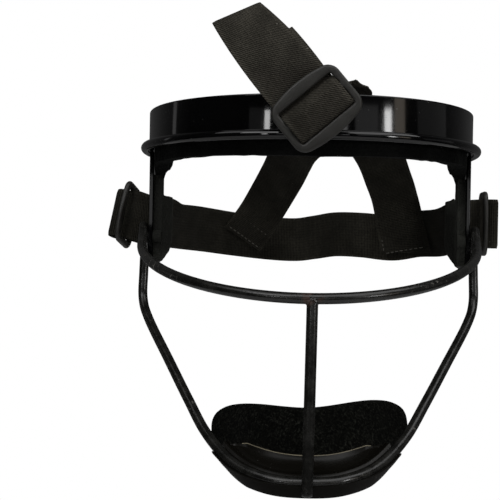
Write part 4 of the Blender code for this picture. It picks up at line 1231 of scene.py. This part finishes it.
class MASK_OT_stud_caps(bpy.types.Operator):
    """Build the push caps on the cage's studs"""

    bl_idname = "mask.stud_caps"
    bl_label = "Stud caps"

    def execute(self, context):
        colours = mask_settings(context)[1]
        for side, label in SIDES:
            place = stud_place(side)
            outer = ARM_INNER_X - CLEARANCE
            profile = [(outer, STUD_RADIUS + CLEARANCE), (outer, CAP_RADIUS), (outer - 0.0004, CAP_RADIUS),
                       (outer - 0.0011, CAP_RADIUS * 0.86), (outer - CAP_HEIGHT + 0.0003, CAP_RADIUS * 0.66),
                       (outer - CAP_HEIGHT, CAP_RADIUS * 0.5), (outer - CAP_HEIGHT, STUD_RADIUS * 0.4)]
            build = turned(side, place, profile)
            near, far = [ARM_OUTER_X + rise for rise in WASHER_FACES]
            turned(side, place, [(near, STUD_RADIUS), (near, WASHER_RADIUS), (far, WASHER_RADIUS),
                                 (far, STUD_RADIUS * 0.8)], build)
            piece("stud_push_cap_" + label, build, shared("cap_metal", metal_finish, colours.metal),
                  ["stud_cap_" + label])
        return {"FINISHED"}


class MASK_OT_chin_cup(bpy.types.Operator):
    """Build the glossy cup that clips on the chin wire"""

    bl_idname = "mask.chin_cup"
    bl_label = "Chin cup"

    def section(self, wire, across, climb):
        """The cup's section at a distance from the middle, as (behind, above) the wire's centre."""
        skirt = kept((CUP_SKIRT_SPAN - abs(across - CUP_SKIRT_SHIFT)) / CUP_SKIRT_FADE) ** 0.6
        rim = kept((CUP_RIM_SPAN - abs(across)) / CUP_RIM_FADE) ** 0.5
        grip = wire + CUP_GRIP_GAP
        wall = grip + CUP_CLIP_WALL

        def arc(radius, *turns):
            """Points on a circle round the wire, at turns in degrees."""
            return [(radius * cos(radians(turn)), radius * sin(radians(turn))) for turn in turns]

        # The skirt's lower edge and outer face, the clip's outside, then its inside up to its upper lip
        rows = [(0.0010, -wall - 0.0036 * skirt), (-0.0006, -wall - 0.0034 * skirt),
                (-0.0023 - 0.0002 * skirt, -wall * 0.78 - 0.0012 * skirt)]
        rows += arc(wall, 214, 204, 197)
        rows += arc(grip, 197, 214, 232, 250, 270, 290, 310, 330, 350, 370, 390, 404)
        rows += [(wire + 0.0001, 0.0024), (wire + 0.0006, 0.0033), (wire + 0.0014, 0.0035), (wire + 0.0021, 0.0031)]

        # The shelf's upper side, the rounded rim, the shelf's underside and the way back down to the skirt
        reach = blend(CUP_END_REACH, CUP_BACK + 0.0005, rim)
        lift = CUP_RIM_CURVE * (across / CUP_RIM_SPAN) ** 2
        height = blend(CUP_END_RISE, CUP_RISE - 0.0004 + lift - climb, rim)
        dip = blend(0.0030, 0.0029, rim)
        for along in (0.20, 0.40, 0.60, 0.80, 0.93):
            rows.append((blend(0.0053, reach, along), blend(dip, height - 0.0006, along ** 1.7)))
        rows += [(reach, height), (reach + 0.0006, height + 0.0003), (reach + 0.0012, height - 0.0002),
                 (reach + 0.0013, height - 0.0010)]
        for along in (0.93, 0.75, 0.50, 0.25, 0.0):
            rows.append((blend(0.0055, reach + 0.0004, along), blend(dip, height, along ** 1.7) - CUP_WALL))
        return rows + arc(wall, 342, 320, 300) + [(0.0014, -wall - 0.0020 * skirt)]

    def execute(self, context):
        sizes, colours = mask_settings(context)
        step = CUP_HALF_SPAN / CUP_STATIONS
        low = chin_front().z
        rings = []
        for index in range(CUP_STATIONS + 1):
            across = CUP_HALF_SPAN * sin(blend(-pi / 2, pi / 2, index / CUP_STATIONS))
            here = chin_line(across)
            way = (chin_line(across + step) - chin_line(across - step)).xy.normalized()
            behind = Vector((-way.y, way.x))
            straight = Vector((behind.x * CUP_SHELF_TURN, 1)).normalized()
            ring = []
            for back, above in self.section(sizes.wire_radius, across, here.z - low):
                spot = here.xy + behind * min(back, CUP_CLIP_REACH) + straight * max(back - CUP_CLIP_REACH, 0.0)
                ring.append(Vector((*spot, here.z + above)))
            rings.append(ring)
        build, where = loft(rings)
        first, last = CUP_SKIRT_ROWS[0], len(rings[0]) - CUP_SKIRT_ROWS[1]
        for face in build.faces:
            places = [where[vert][1] for vert in face.verts]
            if max(places) < first or min(places) > last:
                face.material_index = 1
            # The rim's lip near the middle gets the third material, which paints the rim's highlight line.
            elif (min(places) >= CUP_LIP_START and max(places) <= CUP_LIP_START + 3
                  and abs(face.calc_center_median().x) < CUP_PAINTED_HIGHLIGHT_SPAN):
                face.material_index = 2
        tone = colours.cup_shelf
        made = piece("cup", build, shared("cup_shelf", gloss_finish, tone, 0.24, 0.22), ["chin_cup"],
                     48)
        made.data.materials.append(shared("cup_skirt", gloss_finish, tone, 0.45, 0.06))
        # Painted highlight: the rim's lip wears the cup's colour made 32 times lighter.
        made.data.materials.append(shared("cup_rim", satin_finish, scaled(tone, 32), 0.28))
        return {"FINISHED"}


class MASK_OT_chin_pad(bpy.types.Operator):
    """Build the bean-shaped chin pad in its loop cloth"""

    bl_idname = "mask.chin_pad"
    bl_label = "Chin pad"

    def execute(self, context):
        sizes, colours = mask_settings(context)
        chin = chin_front()
        half = CHIN_PAD_HEIGHT / 2
        middle_z = chin.z + CUP_RISE - CHIN_PAD_BELOW_RIM + half
        rim_lean = 2 * CHIN_PAD_LEAN * (CHIN_PAD_BELOW_RIM - CUP_WALL) / CHIN_PAD_HEIGHT
        slant = atan2(2 * CHIN_PAD_LEAN, CHIN_PAD_HEIGHT)
        foot_y = chin.y + CUP_BACK + CHIN_PAD_GAP + CHIN_PAD_THICKNESS / 2 / cos(slant) - rim_lean
        outline = []
        for step in range(CHIN_PAD_STEPS):
            turn = 2 * pi * step / CHIN_PAD_STEPS
            across = abs(cos(turn)) ** (2 / CHIN_PAD_ROUNDNESS) * (1 if cos(turn) >= 0 else -1)
            up = abs(sin(turn)) ** (2 / CHIN_PAD_ROUNDNESS) * (1 if sin(turn) >= 0 else -1)
            outline.append((CHIN_PAD_HALF_SPAN * across, half * up))
        build = plate([outline], CHIN_PAD_THICKNESS, sizes.pad_edge, 6, True)
        for way, reach in ((Vector((1, 0, 0)), CHIN_PAD_HALF_SPAN), (Vector((0, 1, 0)), half)):
            count = int(reach / CHIN_PAD_GRID)
            cut_at(build, [way * reach * step / count for step in range(1 - count, count)], way)
        lean = 2 * CHIN_PAD_LEAN / CHIN_PAD_HEIGHT
        frequency, depth = CHIN_PAD_WAVES
        for vert in build.verts:
            u, v = vert.co.x / CHIN_PAD_HALF_SPAN, vert.co.y / half
            crown = (1 - min(1.0, abs(u) ** 3)) * (1 - min(1.0, v * v)) * CHIN_PAD_CROWN * (1 if vert.co.z > 0 else -1)
            dip = CHIN_PAD_DIP * cos(pi * min(1.0, abs(u) * 1.1)) - CHIN_PAD_END_RISE
            back = foot_y + CHIN_PAD_LEAN * (1 + v) + CHIN_PAD_BOW * abs(u) ** CHIN_PAD_BEND
            slope = CHIN_PAD_BOW * CHIN_PAD_BEND * abs(u) ** (CHIN_PAD_BEND - 1) / CHIN_PAD_HALF_SPAN
            outward = Vector((slope * (1 if u > 0 else -1), -1, lean)).normalized()
            thick = vert.co.z + crown + depth * noise.noise(Vector((vert.co.x, vert.co.y, 0)) * frequency)
            vert.co = Vector((vert.co.x, back, middle_z + vert.co.y - dip * v)) + outward * thick
        roll = Matrix.Rotation(-radians(CHIN_PAD_ROLL), 4, "Y")
        place = Matrix.Translation((CHIN_PAD_SHIFT[0], 0, middle_z + CHIN_PAD_SHIFT[1]))
        bmesh.ops.transform(build, verts=build.verts, matrix=place @ roll @ Matrix.Translation((0, 0, -middle_z)))
        bmesh.ops.remove_doubles(build, verts=build.verts, dist=MERGE)
        made = piece("chin_cushion", build, shared("loop_cloth", cloth_finish, colours.cloth), ["chin_pad"],
                     70)
        return {"FINISHED"}


class MASK_OT_back_strap(bpy.types.Operator):
    """Build the elastic strap round the nape, through both plates and both side buckles"""

    bl_idname = "mask.back_strap"
    bl_label = "Back strap"

    def execute(self, context):
        sizes, colours = mask_settings(context)
        stations = list(reversed(loop_stations(-1))) + inner_stations() + loop_stations(1)
        finish = shared("elastic_webbing", webbing_finish, colours.webbing, sizes.rib_pitch, 0.0)
        ribbon("back_elastic", stations, BACK_STRAP_WIDTH, sizes.strap_thickness, finish, ["back_strap"])
        return {"FINISHED"}


class MASK_OT_crown_straps(bpy.types.Operator):
    """Build the two straps sewn to the back strap that run up to the brow, with their stitches"""

    bl_idname = "mask.crown_straps"
    bl_label = "Crown straps"

    def stitches(self, name, stations, seams, sizes, finish):
        """Rows of stitches on a strap, near its sewn end."""
        start, across = stations[0]
        way = directions([point for point, _ in stations])[2]
        side = (across - way * across.dot(way)).normalized()
        face = way.cross(side).normalized()
        if face.y > 0:
            face = -face
        lift = face * (sizes.strap_thickness / 2 + STITCH_PROUD)
        build = bmesh.new()
        for seam in seams:
            first, last = [start + side * CROWN_STRAP_WIDTH * u + way * v for u, v in seam]
            run = (last - first).normalized() * sizes.stitch_length / 2
            count = max(1, round((last - first).length / (sizes.stitch_length * STITCH_PITCH)))
            for index in range(count):
                middle = first.lerp(last, (index + 0.5) / count)
                points = [off_back_strap(middle + run * share) + lift - face * STITCH_SINK * share * share
                          for share in (-1.0, -0.5, 0.0, 0.5, 1.0)]
                tube(points, STITCH_RADIUS, build, sides=6, dome=0.8)
        piece(name, build, finish, ())

    def execute(self, context):
        sizes, colours = mask_settings(context)
        finish = shared("elastic_webbing", webbing_finish, colours.webbing, sizes.rib_pitch, 0.0)
        thread = shared("sewing_thread", thread_finish, colours.thread)
        plans = (("left", CROWN_LEFT_SEAT, CROWN_LEFT, CROWN_LEFT_SEAMS),
                 ("right", CROWN_RIGHT_SEAT, CROWN_RIGHT, CROWN_RIGHT_SEAMS))
        for layer, (label, seat, rows, seams) in enumerate(plans):
            stations = crown_stations(seat, rows, brow_joint(layer, sizes.strap_thickness))
            ribbon("crown_elastic_" + label, stations, CROWN_STRAP_WIDTH, sizes.strap_thickness, finish,
                   ["crown_strap_" + label], off_back_strap)
            self.stitches("crown_stitches_" + label, stations, seams, sizes, thread)
        return {"FINISHED"}


class MASK_OT_top_strap(bpy.types.Operator):
    """Build the strap over the band's edge and through the top buckle, and the shorter end behind it"""

    bl_idname = "mask.top_strap"
    bl_label = "Top strap"

    def execute(self, context):
        sizes, colours = mask_settings(context)
        thickness = sizes.strap_thickness
        finish = shared("twill_webbing", webbing_finish, colours.twill, sizes.rib_pitch * 0.85, TWILL_SLANT)
        ribbon("top_elastic", top_strap_stations(thickness), TOP_STRAP_WIDTH, thickness, finish, ["top_strap"])
        tail = smooth_stations(tab_stations(1, TAIL_LENGTH, thickness), 6)
        ribbon("top_elastic_tail", tail, TOP_STRAP_WIDTH, thickness, finish, ["top_strap_tail"])
        return {"FINISHED"}


class MASK_OT_buckles(bpy.types.Operator):
    """Build the three slide buckles"""

    bl_idname = "mask.buckles"
    bl_label = "Slide buckles"

    def execute(self, context):
        sizes, colours = mask_settings(context)
        finish = shared("satin_plastic", satin_finish, colours.buckle)
        upright = Matrix(((0, 0, 1), (0, 1, 0), (-1, 0, 0))).to_4x4()
        centre, along, climb = top_buckle_frame()
        places = [("top", Matrix.Translation(centre)
                   @ Matrix((along, climb, along.cross(climb))).transposed().to_4x4())]
        for side, label in SIDES:
            middle, turn, _ = buckle_place(side)
            places.append((label, Matrix.Translation(middle) @ turn.to_4x4() @ upright))
        for label, place in places:
            size = (BUCKLE_SLOT, TOP_BUCKLE_GROWTH) if label == "top" else (SIDE_BUCKLE_SLOT, 0.0)
            build = buckle_shape(sizes.buckle_edge, *size)
            bmesh.ops.transform(build, verts=build.verts, matrix=place)
            piece("slide_buckle_" + label, build, finish, ["triglide_" + label], 55)
        return {"FINISHED"}


class MASK_OT_stage(bpy.types.Operator):
    """Set the pale floor, the soft lights, the white surround and the camera"""

    bl_idname = "mask.stage"
    bl_label = "Studio"

    def softbox(self, name, heading, rise, width, height, distance, strength, tone):
        """A soft light round the mask, its place and size in degrees: heading 0 is in front, more is right."""
        light = bpy.data.lights.new(name, "AREA")
        light.shape = "RECTANGLE"
        light.size = 2 * distance * tan(radians(width / 2))
        light.size_y = 2 * distance * tan(radians(height / 2))
        light.energy = strength * pi * light.size * light.size_y
        light.color = tone
        lamp = bpy.data.objects.new(name, light)
        bpy.context.scene.collection.objects.link(lamp)
        turn, climb = radians(heading), radians(rise)
        away = Vector((sin(turn) * cos(climb), -cos(turn) * cos(climb), sin(climb)))
        lamp.location = Vector(LIGHTS_CENTRE) + away * distance
        lamp.rotation_euler = away.to_track_quat("Z", "Y").to_euler()

    def floor(self, tone):
        """The pale floor."""
        finish = Finish("floor", specular_ior_level=0.2)
        soft = finish.noise(finish.place(), 3.0, 2.0)
        finish.feed(base_color=finish.mixed(soft * 0.1, tuple(tone), FLOOR_SHADE),
                    roughness=finish.range(soft, 0.0, 1.0, 0.6, 0.8))
        build = bmesh.new()
        bmesh.ops.create_circle(build, cap_ends=True, segments=96, radius=FLOOR_RADIUS)
        bmesh.ops.translate(build, verts=build.verts, vec=FLOOR_CENTRE)
        mesh = bpy.data.meshes.new("floor")
        build.to_mesh(mesh)
        build.free()
        floor = bpy.data.objects.new("floor", mesh)
        mesh.materials.append(finish.material)
        bpy.context.scene.collection.objects.link(floor)

    def surround(self, world):
        """White where the camera sees it; as light, brighter from behind the mask than from in front."""
        world.use_nodes = True
        room = Nodes(world.node_tree)
        background = room.tree.nodes["Background"]
        back = room.node("ShaderNodeSeparateXYZ", {}, {0: room.node("ShaderNodeTexCoord", output="Generated")}, "Y")
        strength = room.node("ShaderNodeMapRange", {}, {0: back, **ROOM_LIGHT})
        room.tree.links.new(strength.output, background.inputs["Strength"])
        shown = room.node("ShaderNodeBackground", {}, {"Color": (*WHITE, 1.0)})
        seen = room.node("ShaderNodeLightPath", output="Is Camera Ray")
        whole = room.node("ShaderNodeMixShader", {}, {0: seen, 1: Socket(room, background.outputs[0]), 2: shown})
        room.tree.links.new(whole.output, room.tree.nodes["World Output"].inputs["Surface"])

    def execute(self, context):
        self.floor(mask_settings(context)[1].floor)
        context.scene.world = bpy.data.worlds.new("studio")
        self.surround(context.scene.world)
        for light in LIGHTS:
            self.softbox(*light)

        camera = bpy.data.objects.new("camera", bpy.data.cameras.new("camera"))
        context.scene.collection.objects.link(camera)
        camera.data.lens = CAMERA_LENS
        camera.data.sensor_width = 36.0
        camera.data.clip_start = 0.01
        camera.location = CAMERA_PLACE
        camera.rotation_mode = "QUATERNION"
        turn = (Matrix.Rotation(radians(CAMERA_HEADING), 4, "Z") @ Matrix.Rotation(radians(CAMERA_LEVEL), 4, "X")
                @ Matrix.Rotation(radians(CAMERA_ROLL), 4, "Y") @ Matrix.Rotation(pi / 2, 4, "X"))
        camera.rotation_quaternion = turn.to_quaternion()
        context.scene.camera = camera
        context.scene.view_settings.view_transform = "Standard"
        return {"FINISHED"}


OPERATORS = (MASK_OT_band, MASK_OT_brow_pad, MASK_OT_side_pads, MASK_OT_cage, MASK_OT_stud_caps, MASK_OT_chin_cup,
             MASK_OT_chin_pad, MASK_OT_back_strap, MASK_OT_crown_straps, MASK_OT_top_strap, MASK_OT_buckles,
             MASK_OT_stage)


class MASK_PT_sidebar(bpy.types.Panel):
    """The mask's pieces, sizes and colours"""

    bl_label = "Fielder mask"
    bl_idname = "MASK_PT_sidebar"
    bl_space_type = "VIEW_3D"
    bl_region_type = "UI"
    bl_category = "Mask"

    def draw(self, context):
        for group in (context.scene.mask_sizes, context.scene.mask_colours):
            box = self.layout.box()
            for label in group.__annotations__:
                box.prop(group, label)
        for operator in OPERATORS:
            self.layout.operator(operator.bl_idname)


CLASSES = (MaskSizes, MaskColours, *OPERATORS, MASK_PT_sidebar)


def register():
    """Add the classes and the scene's settings."""
    for made in CLASSES:
        bpy.utils.register_class(made)
    bpy.types.Scene.mask_sizes = PointerProperty(type=MaskSizes)
    bpy.types.Scene.mask_colours = PointerProperty(type=MaskColours)


def unregister():
    """Take them away again."""
    del bpy.types.Scene.mask_colours
    del bpy.types.Scene.mask_sizes
    for made in reversed(CLASSES):
        bpy.utils.unregister_class(made)


def main():
    """Build every piece."""
    register()
    for operator in OPERATORS:
        group, name = operator.bl_idname.split(".")
        getattr(getattr(bpy.ops, group), name)()


if __name__ == "__main__":
    main()
